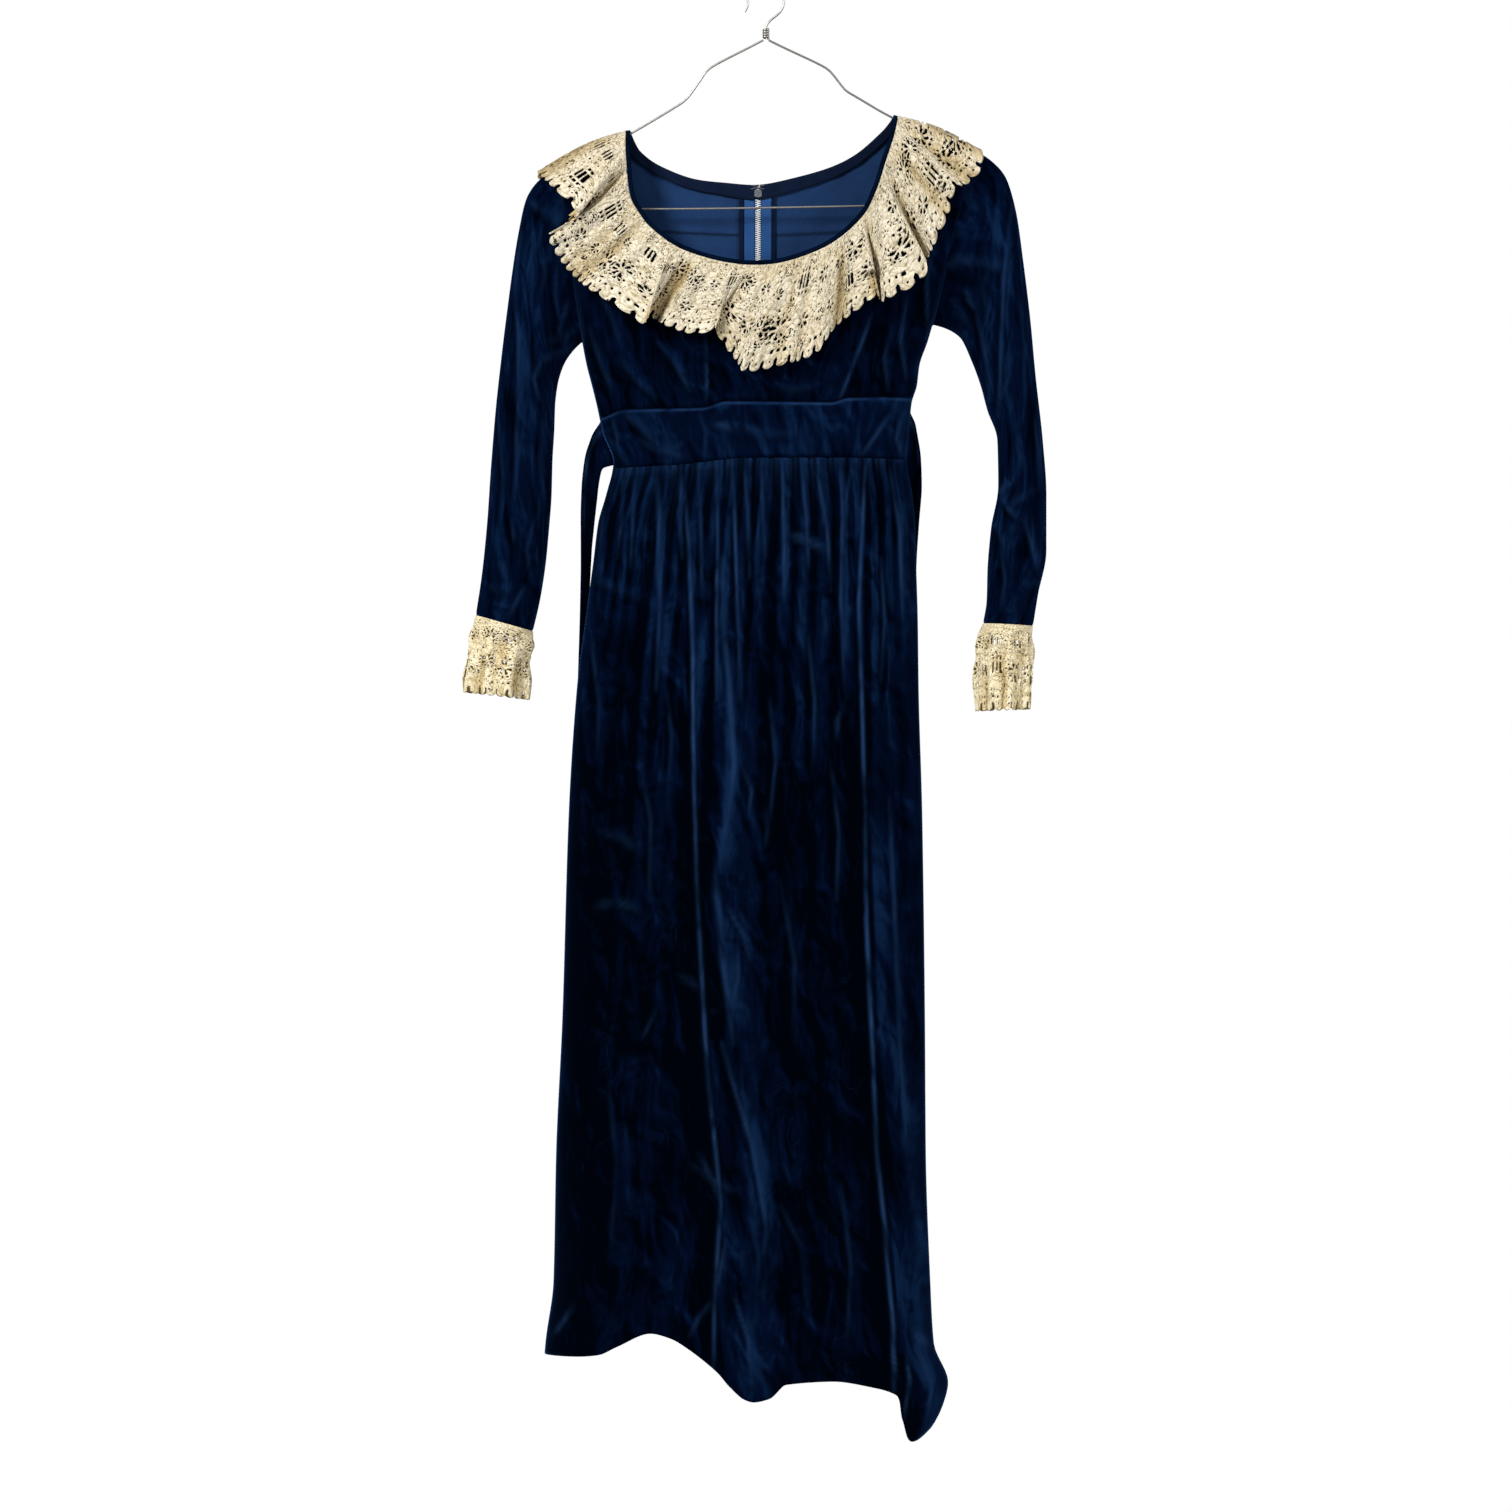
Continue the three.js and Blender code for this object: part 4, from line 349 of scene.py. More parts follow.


# broad strips of painted light on the skirt's front, where broad folds' flanks catch the light: points,
# half widths to the left and to the right, how light
PAINTED_LIGHT_STRIPS = [
    ([(-87, -600), (-77, -757), (-77, -847)], 2, 16, 0.55),
    ([(-52, -544), (-47, -645), (-49, -735)], 10, 14, 0.5),
    ([(-56, -735), (-47, -802), (-38, -874), (-44, -948), (-60, -1004)], 9, 12, 0.75),
    ([(-68, -1004), (-60, -1071), (-43, -1116), (-29, -1183)], 3, 26, 0.6),
    ([(-60, -1183), (-56, -1239)], 2, 14, 0.3),
    ([(-35, -1228), (-10, -1306), (-1, -1396)], 16, 10, 0.5),
    ([(-56, -1351), (-45, -1407), (-49, -1474)], 8, 14, 0.5),
    ([(-67, -1351), (-85, -1407), (-96, -1463), (-74, -1508)], 22, 10, 0.35),
    ([(-46, -1474), (-35, -1530), (-24, -1569)], 16, 30, 0.45),
    ([(-119, -544), (-118, -645), (-116, -735), (-119, -802)], 6, 9, 0.7),
    ([(-119, -802), (-114, -869), (-110, -959), (-119, -1026)], 10, 14, 0.3),
    ([(-156, -556), (-159, -623)], 6, 8, 0.4),
    ([(-180, -578), (-188, -645), (-190, -712)], 6, 8, 0.35),
    ([(-202, -746), (-204, -824), (-190, -869)], 8, 10, 0.3),
    ([(20, -544), (22, -645), (22, -735)], 4, 9, 0.65),
    ([(25, -735), (16, -802), (7, -880)], 6, 8, 0.4),
    ([(-24, -556), (-18, -645), (-16, -735)], 10, 12, 0.35),
    ([(52, -544), (63, -600)], 8, 8, 0.4),
    ([(90, -544), (92, -645), (90, -735), (94, -802)], 6, 9, 0.75),
    ([(94, -802), (96, -869)], 5, 7, 0.4),
    ([(114, -556), (114, -690), (116, -802)], 3, 12, 0.3),
    ([(146, -556), (148, -645), (148, -735), (150, -802)], 8, 9, 0.55),
    ([(114, -892), (121, -1026), (125, -1138), (134, -1250), (146, -1340)], 3, 18, 0.6),
    ([(134, -1340), (144, -1418), (148, -1508), (146, -1575)], 3, 14, 0.6),
    ([(156, -1306), (167, -1362), (177, -1429)], 6, 8, 0.4),
    ([(164, -1508), (178, -1552), (184, -1586)], 10, 14, 0.55),
    ([(105, -1474), (125, -1530)], 18, 10, 0.35),
    ([(94, -1306), (101, -1384)], 6, 8, 0.25),
    ([(156, -802), (164, -869), (166, -981)], 8, 8, 0.25),
]


# ---- reading the tables ----
def along(rows, at, column, key=0):
    """One column of a table where its key column is at, along a curve that never overshoots."""
    x, y = rows[:, key], rows[:, column]
    if x[0] > x[-1]:
        x, y = x[::-1], y[::-1]
    gaps = np.diff(x)
    slopes = np.diff(y) / gaps
    tangents = np.concatenate([slopes[:1], np.zeros(len(x) - 2), slopes[-1:]])
    same = slopes[:-1] * slopes[1:] > 0
    sums = np.where(same, slopes[:-1] + slopes[1:], 1)
    tangents[1:-1] = np.where(same, 2 * slopes[:-1] * slopes[1:] / sums, 0)
    at = np.clip(at, x[0], x[-1])
    i = np.clip(np.searchsorted(x, at, side="right") - 1, 0, len(x) - 2)
    t = (at - x[i]) / gaps[i]
    return (
        y[i] * (1 + 2 * t) * (1 - t) ** 2
        + y[i + 1] * t * t * (3 - 2 * t)
        + gaps[i] * (tangents[i] * t * (1 - t) ** 2 - tangents[i + 1] * t * t * (1 - t))
    )


def mix(a, b, t):
    return a + (b - a) * t


def ease(value, low, high):
    t = np.clip((value - low) / (high - low), 0, 1)
    return t * t * (3 - 2 * t)


def off_sides(share, fade=0.03):
    """0 at both side seams and 1 a little way in, so that a form fades out before it meets them."""
    return ease(share, 0, fade) * ease(1 - share, 0, fade)


# ---- the dress's body ----
def ridge_z(x):
    """Height of the shoulder ridge, straight from one neck end to the other."""
    (left_x, left_z, left_slope), (right_x, right_z, right_slope) = SHOULDERS
    across = mix(left_z, right_z, (x - left_x) / (right_x - left_x))
    slopes = np.minimum(left_z + left_slope * (x - left_x), right_z + right_slope * (x - right_x))
    return np.minimum(slopes, across)


def side_x(side, z, inset=0.0):
    """The side seam at a height, or above the underarm the armhole seam."""
    top_x, top_z, under_x, under_z = ARMHOLES[side][:4]
    inwards = 1 if side == LEFT else -1
    armhole = mix(under_x, top_x, (z - under_z) / (top_z - under_z)) + inwards * (inset + HALF_GAP)
    return np.where(z <= under_z, along(BODY, z, side) + inwards * inset, armhole)


def armhole_depth(side, face, z, inset):
    top_z, under_z = ARMHOLES[side][1], ARMHOLES[side][3]
    place = (z - (top_z + under_z) / 2) / ((top_z - under_z) / 2 - inset)
    depth = ARMHOLES[side][4 if face == "front" else 5] - inset
    return max(0, depth) * np.sqrt(np.maximum(0, 1 - place * place))


def body_depth(face, x, z, inset=0.0):
    """How far the body's front or back stands off the side seams' plane."""
    left, right = side_x(LEFT, z, inset), side_x(RIGHT, z, inset)
    across = np.clip((x - left) / (right - left), 0, 1)
    rounded = (1 - np.abs(2 * across - 1) ** ROUNDNESS) ** (1 / ROUNDNESS)
    drop = np.clip((ridge_z(x) - inset - z) / RIDGE_DROP, 0, 1)
    edge = np.where(
        across < 0.5, armhole_depth(LEFT, face, z, inset), armhole_depth(RIGHT, face, z, inset)
    )
    depth = (along(BODY, z, DEPTH[face]) - inset) * np.sqrt(1 - (1 - drop) ** 2)
    return mix(edge, depth, rounded)


WAIST_LEFT, WAIST_RIGHT = -171, 158  # the side seams at the skirt's top


def at_waist(share):
    return mix(WAIST_LEFT, WAIST_RIGHT, share)


def of_waist(x):
    return (x - WAIST_LEFT) / (WAIST_RIGHT - WAIST_LEFT)


def gather_relief(gathers, x, drop):
    """Height of the gathers at a place across the skirt's top and a drop below it."""
    ridges = gathers[:, :3]
    valleys = (ridges[1:] + ridges[:-1]) / 2
    valleys[:, 1] *= -GATHER_VALLEY
    plain = 12
    ends = np.array([(ridges[0, 0] - plain, 0, 1), (ridges[-1, 0] + plain, 0, 1)])
    marks = np.concatenate([ridges, valleys, ends])
    marks = marks[np.argsort(marks[:, 0])]
    i = np.clip(np.searchsorted(marks[:, 0], x, side="right") - 1, 0, len(marks) - 2)
    high = lambda k: marks[k, 1] * np.exp(-((np.maximum(0, drop) / marks[k, 2]) ** 1.3))
    t = ease(x, marks[i, 0], marks[i + 1, 0])
    inside = (x > marks[0, 0]) & (x < marks[-1, 0])
    return np.where(inside, mix(high(i), high(i + 1), t), 0)


def fold_relief(folds, x, z):
    total = np.zeros_like(x)
    for rows in folds:
        away = (x - along(rows, z, 1)) / along(rows, z, 3)
        total += np.where(z > rows[0, 0], 0, along(rows, z, 2) * np.exp(-away * away))
    return total


def skirt_relief(gathers, folds, x, z, share):
    drop = along(SKIRT_SEAM, x, 1) - z
    plain_sides = off_sides(share, 0.05)
    folded = fold_relief(folds, x, z) * ease(drop, 0, 60)
    return plain_sides * (gather_relief(gathers, at_waist(share), drop) + SKIRT_EASE + folded)


def back_relief(x, z, share):
    left = skirt_relief(GATHERS["left"], FOLDS["back"], x, z, share)
    right = skirt_relief(GATHERS["right"], FOLDS["back"], x, z, share)
    relief = np.where(share < of_waist(BACK_SEAM_X), left, right)
    return relief * ease(np.abs(x - BACK_SEAM_X), 17, 34)


def dart_relief(x, z):
    total = np.zeros_like(x)
    for top_x, top_z, low_x, low_z, deep, wide in DARTS:
        down = np.clip((top_z - z) / (top_z - low_z), 0, 1)
        away = (x - mix(top_x, low_x, down)) / wide
        total -= deep * ease(down, 0, 0.6) * np.exp(-away * away)
    return total


def nearest_on_line(points, x, z):
    """For places across and up, how far away the nearest point of a line through points is, where it
    lies as a share of the line's length, the side of the line's run that the place is on, and -1
    where the place is to the left of that point or 1 to its right."""
    spots = np.array(points, float)
    runs = np.diff(spots, axis=0)
    lengths = np.hypot(runs[:, 0], runs[:, 1])
    starts = np.concatenate([[0], np.cumsum(lengths)])
    best, place = np.full(len(x), 1e9), np.zeros(len(x))
    side, sideways = np.zeros(len(x)), np.ones(len(x))
    for k, (dx, dz) in enumerate(runs):
        ox, oz = x - spots[k, 0], z - spots[k, 1]
        t = np.clip((ox * dx + oz * dz) / lengths[k] ** 2, 0, 1)
        away = np.hypot(ox - t * dx, oz - t * dz)
        closer = away < best
        best = np.where(closer, away, best)
        place = np.where(closer, (starts[k] + t * lengths[k]) / starts[-1], place)
        side = np.where(closer, np.sign(dx * oz - dz * ox), side)
        sideways = np.where(closer, np.where(ox - t * dx < 0, -1, 1), sideways)
    return best, place, side, sideways


def crease_relief(creases, x, z):
    """(height, painted highlight along the crests, standing partly for crushed pile) of the creases at places
    across and up.
    """
    high, painted_highlight = np.zeros_like(x), np.zeros_like(x)
    for points, height, wide, lean, highlight in creases:
        spots = np.array(points, float)
        reach = 3 * wide
        near = (
            (x > spots[:, 0].min() - reach) & (x < spots[:, 0].max() + reach)
            & (z > spots[:, 1].min() - reach) & (z < spots[:, 1].max() + reach)
        )
        if not near.any():
            continue
        away, place, side, _ = nearest_on_line(spots, x[near], z[near])
        runs = np.diff(spots, axis=0)
        level = np.abs(runs[:, 0]).sum() / np.hypot(runs[:, 0], runs[:, 1]).sum()
        fade = np.sin(math.pi * np.clip(place, 0.03, 0.97)) ** 0.5
        # the crest is steep on the side it leans to and eases off on the other
        spread = (wide + 2.5 * level) * (1 + 0.7 * lean * side)
        high[near] += height * fade * np.exp(-((away / spread) ** 2))
        # painted highlight: a pale line along the crest, standing partly for crushed pile
        line = 0.16 * wide + 1.1 + 3.2 * level**2
        highlit = highlight * (1 - 0.5 * level) * fade * np.exp(-((away / line) ** 2))
        painted_highlight[near] = np.maximum(painted_highlight[near], highlit)
    return high, painted_highlight


def painted_strip_light(strips, x, z):
    """Painted light from the broad strips, standing for the lit flanks of broad folds."""
    total = np.zeros_like(x)
    for points, left, right, amount in strips:
        away, place, _, sideways = nearest_on_line(points, x, z)
        spread = np.where(sideways < 0, left, right)
        fade = np.sin(math.pi * np.clip(place, 0.04, 0.96)) ** 0.5
        total = np.maximum(total, amount * fade * np.exp(-((away / spread) ** 2)))
    return total


def scattered_creases(seed, count, x_range, z_range, upright=0.8):
    """Faint short wrinkles, as pressed cloth has everywhere."""
    draw = random.Random(seed)
    made = []
    for _ in range(count):
        x, z = draw.uniform(*x_range), draw.uniform(*z_range)
        length = draw.uniform(18, 80)
        turned = draw.gauss(0, 1 - upright) if draw.random() < 0.75 else draw.uniform(-1.2, 1.2)
        dx, dz = math.sin(turned) * length / 2, math.cos(turned) * length / 2
        bow = draw.uniform(-0.12, 0.12) * length
        points = [(x - dx, z - dz), (x + bow, z), (x + dx, z + dz)]
        height = draw.uniform(0.5, 1.8) * draw.choice((1, 1, -1))
        # a few wrinkles carry a faint painted highlight along the crest
        highlit = draw.uniform(0.1, 0.3) if draw.random() < 0.12 else 0.0
        made.append((points, height, draw.uniform(4, 10), draw.uniform(-0.6, 0.6), highlit))
    return made


# ---- materials ----
def linear(hex_colour):
    """An sRGB hex colour as the linear colour that a shader takes."""
    shades = [int(hex_colour[i : i + 2], 16) / 255 for i in (1, 3, 5)]
    return [s / 12.92 if s <= 0.04045 else ((s + 0.055) / 1.055) ** 2.4 for s in shades] + [1]


def add_node(material, kind, settings=None, links=None):
    """Adds a node to the material, with its settings and its links from other nodes' outputs."""
    node = material.node_tree.nodes.new("ShaderNode" + kind)
    for name, value in (settings or {}).items():
        if isinstance(name, str) and hasattr(node, name):
            setattr(node, name, value)
        else:
            node.inputs[name].default_value = value
    for name, output in (links or {}).items():
        material.node_tree.links.new(output, node.inputs[name])
    return node


def new_material(name, **shader_settings):
    """A material with only its shader, and the shader's node."""
    material = bpy.data.materials.new(name)
    material.use_nodes = True
    material.node_tree.nodes.clear()
    settings = {key.replace("_", " "): value for key, value in shader_settings.items()}
    shader = add_node(material, "BsdfPrincipled", settings)
    add_node(material, "OutputMaterial", links={"Surface": shader.outputs["BSDF"]})
    return material, shader


def ramp(material, factor, stops):
    """A colour ramp over factor, from (place, hex colour) stops."""
    node = add_node(material, "ValToRGB", links={"Fac": factor})
    while len(node.color_ramp.elements) < len(stops):
        node.color_ramp.elements.new(0.5)
    for element, (place, colour) in zip(node.color_ramp.elements, stops):
        element.position, element.color = place, linear(colour)
    return node.outputs["Color"]


def remap(material, value, start, end, low=0.0, high=1.0):
    """A value's run from start to end taken to low to high, and held there beyond it."""
    settings = {"From Min": start, "From Max": end, "To Min": low, "To Max": high}
    return add_node(material, "MapRange", settings, {"Value": value}).outputs["Result"]


def link(material, output, socket):
    material.node_tree.links.new(output, socket)


def cotton_velvet(name, deep, middle, light, highlight_colour):
    """Cotton velvet: a dense cut pile that is darkest where it is looked into and pale where it is
    bent over, with clouds of pressed pile; its colour carries painted light and shade on folds and crumples, and
    painted highlights along the creases."""
    material, shader = new_material(
        name, Roughness=1.0, Specular_IOR_Level=0.0, Sheen_Weight=0.22, Sheen_Roughness=0.4,
        Sheen_Tint=linear("#3A68B0"),
    )
    cloth = add_node(material, "UVMap", {"uv_map": "cloth"}).outputs["UV"]
    # pressed clouds 45 mm wide and longer down the cloth than across
    stretched = add_node(material, "Mapping", {"Scale": (22, 9, 1)}, {"Vector": cloth})
    clouds = add_node(
        material, "TexNoise", {"Scale": 1, "Detail": 4, "Roughness": 0.62, "Distortion": 0.6},
        {"Vector": stretched.outputs["Vector"]},
    )
    # tufts of pile 1.2 mm wide, brushed down the cloth
    brushed = add_node(material, "Mapping", {"Scale": (830, 300, 1)}, {"Vector": cloth})
    tufts = add_node(
        material, "TexNoise", {"Scale": 1, "Detail": 2, "Roughness": 0.6}, {"Vector": brushed.outputs["Vector"]}
    )
    highlight = add_node(material, "Attribute", {"attribute_name": "highlight"}).outputs["Fac"]
    tone_and_painted_light = add_node(material, "Attribute", {"attribute_name": "tone_and_painted_light"}).outputs["Fac"]
    patchy = add_node(
        material, "Math", {"operation": "MULTIPLY_ADD", 1: 0.6, 2: -0.3}, {0: clouds.outputs["Fac"]}
    )
    uneven = add_node(material, "Math", {"operation": "MULTIPLY_ADD", 1: 1.5, 2: 0.2}, {0: clouds.outputs["Fac"]})
    tone_and_light = add_node(
        material, "Math", {"operation": "MULTIPLY_ADD"}, {0: tone_and_painted_light, 1: uneven.outputs[0], 2: patchy.outputs[0]}
    )
    # painted light and shade: soft crumples 30 mm wide, one flank of each painted lighter and the other darker
    flanks = []
    for shift in ((0, 0, 0), (0.13, 0.1, 0)):
        moved = add_node(material, "Mapping", {"Scale": (34, 17, 1), "Location": shift}, {"Vector": cloth})
        flanks.append(add_node(
            material, "TexNoise", {"Scale": 1, "Detail": 2.5, "Roughness": 0.5, "Distortion": 0.6},
            {"Vector": moved.outputs["Vector"]},
        ).outputs["Fac"])
    slope = add_node(material, "Math", {"operation": "SUBTRACT"}, {0: flanks[1], 1: flanks[0]})
    lit_and_shaded = add_node(
        material, "Math", {"operation": "MULTIPLY_ADD", 1: 1.7}, {0: slope.outputs[0], 2: tone_and_light.outputs[0]}
    )
    shaded_colour = ramp(material, lit_and_shaded.outputs[0], ((0.0, deep), (0.4, middle), (0.85, light)))
    tufted = add_node(
        material, "Mix", {"data_type": "RGBA", "blend_type": "OVERLAY", 0: 0.3},
        {6: shaded_colour, 7: ramp(material, tufts.outputs["Fac"], ((0.3, "#505050"), (0.7, "#B0B0B0")))},
    )
    # painted highlights: hair-fine pale lines along the crests of some painted crumples
    crumple_highlight = add_node(material, "Math", {"operation": "SUBTRACT", 1: 0.5}, {0: flanks[0]})
    crumple_highlight = add_node(material, "Math", {"operation": "ABSOLUTE"}, {0: crumple_highlight.outputs[0]})
    crumple_highlight = remap(material, crumple_highlight.outputs[0], 0.0, 0.018, 0.05, 0.0)
    some = remap(material, clouds.outputs["Fac"], 0.5, 0.66)
    # a crease's painted highlight comes and goes
    broken = remap(material, flanks[0], 0.36, 0.6, 0.25, 1.15)
    lines = add_node(material, "Math", {"operation": "MULTIPLY"}, {0: highlight, 1: broken})
    fine = add_node(
        material, "Math", {"operation": "MULTIPLY_ADD"}, {0: crumple_highlight, 1: some, 2: lines.outputs[0]}
    )
    # painted highlights: the crease lines and crumple crests mixed towards the highlight colour
    highlit = add_node(
        material, "Mix", {"data_type": "RGBA", 7: linear(highlight_colour)},
        {0: fine.outputs[0], 6: tufted.outputs[2]}
    )
    link(material, highlit.outputs[2], shader.inputs["Base Color"])
    pile = add_node(
        material, "Bump", {"Strength": 0.35, "Distance": 0.0006}, {"Height": tufts.outputs["Fac"]}
    )
    pressed = add_node(
        material, "Bump", {"Strength": 0.6, "Distance": 0.004},
        {"Height": clouds.outputs["Fac"], "Normal": pile.outputs["Normal"]},
    )
    link(material, pressed.outputs["Normal"], shader.inputs["Normal"])
    return material


def plain_weave(name, colour, shade, thread_mm, roughness=0.9):
    """Plain woven cotton: the flat, dry side of the cloth, with its threads drawn at thread_mm."""
    material, shader = new_material(name, Roughness=roughness, Specular_IOR_Level=0.04, Sheen_Weight=0.04,
                                    Sheen_Roughness=0.5)
    cloth = add_node(material, "UVMap", {"uv_map": "cloth"}).outputs["UV"]
    rate = 1 / (thread_mm * MM) / 2
    waves = []
    for direction in ("X", "Y"):
        waves.append(add_node(
            material, "TexWave", {"bands_direction": direction, "Scale": rate / 3.2, "Distortion": 0.6,
                                  "Detail": 1}, {"Vector": cloth},
        ).outputs["Fac"])
    weave = add_node(material, "Math", {"operation": "MAXIMUM"}, {0: waves[0], 1: waves[1]})
    clouds = add_node(material, "TexNoise", {"Scale": 35, "Detail": 5, "Roughness": 0.6}, {"Vector": cloth})
    both = add_node(material, "Math", {"operation": "MULTIPLY"}, {0: weave.outputs[0], 1: clouds.outputs["Fac"]})
    dark_line = add_node(material, "Attribute", {"attribute_name": "dark_line"}).outputs["Fac"]
    # darkened towards near-black navy along the painted dark line
    darkened = add_node(
        material, "Mix", {"data_type": "RGBA", 7: linear("#040A18")},
        {0: dark_line, 6: ramp(material, both.outputs[0], ((0.1, shade), (0.6, colour)))},
    )
    link(material, darkened.outputs[2], shader.inputs["Base Color"])
    bump = add_node(material, "Bump", {"Strength": 0.4, "Distance": 0.0004}, {"Height": weave.outputs[0]})
    link(material, bump.outputs["Normal"], shader.inputs["Normal"])
    return material


def cotton_lace(name, light, shade, deep):
    """Cluny lace of soft cotton thread: plaited bars with painted shade, pale on top and tan in between,
    with pinholes painted as dark spots for the shade seen through them, and painted shade deep in its folds."""
    material, shader = new_material(name, Roughness=0.95, Specular_IOR_Level=0.08, Sheen_Weight=0.15,
                                    Sheen_Roughness=0.5, Sheen_Tint=linear("#FFF6DC"))
    cloth = add_node(material, "UVMap", {"uv_map": "cloth"}).outputs["UV"]
    wander = add_node(material, "TexNoise", {"Scale": 160, "Detail": 2}, {"Vector": cloth})
    bent = add_node(
        material, "VectorMath", {"operation": "MULTIPLY_ADD", 1: (0.006, 0.006, 0)},
        {0: wander.outputs["Color"], 2: cloth},
    )
    # plaits 2 mm wide
    plaits = add_node(
        material, "TexVoronoi", {"feature": "SMOOTH_F1", "Scale": 520, "Smoothness": 0.5, "Randomness": 0.9},
        {"Vector": bent.outputs["Vector"]},
    )
    # seams between leaves and flowers, 7 mm apart
    leaves = add_node(
        material, "TexVoronoi", {"feature": "DISTANCE_TO_EDGE", "Scale": 135}, {"Vector": bent.outputs["Vector"]}
    )
    fibres = add_node(material, "TexNoise", {"Scale": 900, "Detail": 3, "Roughness": 0.7}, {"Vector": cloth})
    age = add_node(material, "TexNoise", {"Scale": 30, "Detail": 5, "Roughness": 0.65}, {"Vector": cloth})
    # painted shade: each plait pale on top and tan towards its edges
    plait_shade = ramp(material, plaits.outputs["Distance"], ((0.22, light), (0.6, shade), (0.95, deep)))
    aged = add_node(
        material, "Mix", {"data_type": "RGBA", "blend_type": "MULTIPLY", 0: 0.5},
        {6: plait_shade, 7: ramp(material, age.outputs["Fac"], ((0.38, "#E8E0CC"), (0.56, "#FFFFFF")))},
    )
    # painted shade: darker lines in the seams between leaves and flowers
    seam_shade = add_node(
        material, "Mix", {"data_type": "RGBA", "blend_type": "MULTIPLY", 0: 0.6},
        {6: aged.outputs[2],
         7: ramp(material, leaves.outputs["Distance"], ((0.01, "#A89A78"), (0.07, "#FFFFFF")))},
    )
    # pinholes gather in some places and leave others whole
    crowd = add_node(material, "TexNoise", {"Scale": 75, "Detail": 2}, {"Vector": cloth})
    holes = add_node(
        material, "TexVoronoi", {"feature": "F1", "Scale": 500, "Randomness": 1.0},
        {"Vector": bent.outputs["Vector"]}
    )
    reach = remap(material, crowd.outputs["Fac"], 0.4, 0.7, 0.0, 0.42)
    pierced = add_node(material, "Math", {"operation": "LESS_THAN"}, {0: holes.outputs["Distance"], 1: reach})
    # painted shade: dark spots where the pinholes are
    dotted = add_node(
        material, "Mix", {"data_type": "RGBA", 7: linear("#2A261C")},
        {0: pierced.outputs[0], 6: seam_shade.outputs[2]}
    )
    # painted shade: tan where the lace lies deep between its folds
    depth = add_node(material, "Attribute", {"attribute_name": "tone_and_painted_light"}).outputs["Fac"]
    shaded = add_node(
        material, "Mix", {"data_type": "RGBA", "blend_type": "MULTIPLY", 0: 1.0},
        {6: dotted.outputs[2], 7: ramp(material, depth, ((0.0, "#AC9B76"), (0.5, "#EAE2CF"), (0.8, "#FFFFFF")))},
    )
    link(material, shaded.outputs[2], shader.inputs["Base Color"])
    seams = add_node(
        material, "Bump", {"Strength": 0.9, "Distance": 0.003}, {"Height": leaves.outputs["Distance"]}
    )
    raised = add_node(
        material, "Bump", {"Strength": 0.6, "Distance": 0.001, "invert": True},
        {"Height": plaits.outputs["Distance"], "Normal": seams.outputs["Normal"]},
    )
    fuzzy = add_node(
        material, "Bump", {"Strength": 0.4, "Distance": 0.0004},
        {"Height": fibres.outputs["Fac"], "Normal": raised.outputs["Normal"]},
    )
    link(material, fuzzy.outputs["Normal"], shader.inputs["Normal"])
    return material


def drawn_metal(name, colour, roughness, scratch_mm, metallic=1.0):
    """Bare metal, drawn or pressed: grey, with fine lines that break up its shine."""
    material, shader = new_material(name, Metallic=metallic, Roughness=roughness)
    place = add_node(material, "TexCoord").outputs["Object"]
    lines = add_node(
        material, "TexNoise", {"Scale": 1 / (scratch_mm * MM), "Detail": 3, "Roughness": 0.7}, {"Vector": place}
    )
    link(material, ramp(material, lines.outputs["Fac"], ((0.3, colour[1]), (0.65, colour[0]))),
         shader.inputs["Base Color"])
    rough = remap(material, lines.outputs["Fac"], 0.0, 1.0, roughness - 0.1, roughness + 0.15)
    link(material, rough, shader.inputs["Roughness"])
    bump = add_node(material, "Bump", {"Strength": 0.25, "Distance": 0.0001}, {"Height": lines.outputs["Fac"]})
    link(material, bump.outputs["Normal"], shader.inputs["Normal"])
    return material


# ramp colours for base tone and painted light and shade: deep, middle, light, then the painted highlight's colour
velvet = cotton_velvet("midnight cotton velvet", "#000207", "#020B21", "#0C213F", "#223C63")
velvet_edge = cotton_velvet("navy velvet binding", "#01040C", "#020917", "#061226", "#0E2140")
# the velvet's wrong side: a flat dusty blue
backing = plain_weave("velvet's cotton back", "#1C365D", "#132747", 0.9)
facing = plain_weave("navy cotton facing", "#0A1730", "#050D1E", 0.8)
tape = plain_weave("cotton zip tape", "#274C7F", "#1B3862", 0.9)
lace = cotton_lace("cream cluny lace", "#DAD2C0", "#C7BDA6", "#928566")
cuff_lace = cotton_lace("cream cluny lace, yellower", "#F0E6CC", "#E2D5B2", "#B3A27C")
# a tan copy of the lace: painted shade on its wrong side, which faces into the folds
shaded_lace_wrong_side = cotton_lace("lace's wrong side in painted shade", "#D2C199", "#BFAB7E", "#8F7D55")
teeth = drawn_metal("zip teeth, nickel silver", ("#FFFFFF", "#C9CED6"), 0.4, 0.6, 0.25)
# the slider, the hook and the eye: duller and darker than the teeth
nickel = drawn_metal("worn nickel plate", ("#9EA3AA", "#4E535B"), 0.35, 0.8, 0.9)
wire = drawn_metal("galvanised wire", ("#B9B6B2", "#8A8682"), 0.42, 0.9)


# ---- making cloth ----
def new_piece(name, mesh, materials, replaces=()):
    """A finished mesh as a piece of the dress."""
    data = bpy.data.meshes.new(name)
    mesh.to_mesh(data)
    mesh.free()
    piece = bpy.data.objects.new(name, data)
    bpy.context.scene.collection.objects.link(piece)
    for material in materials:
        data.materials.append(material)
    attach(piece, "dress")
    if replaces:
        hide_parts(*replaces)
    return piece


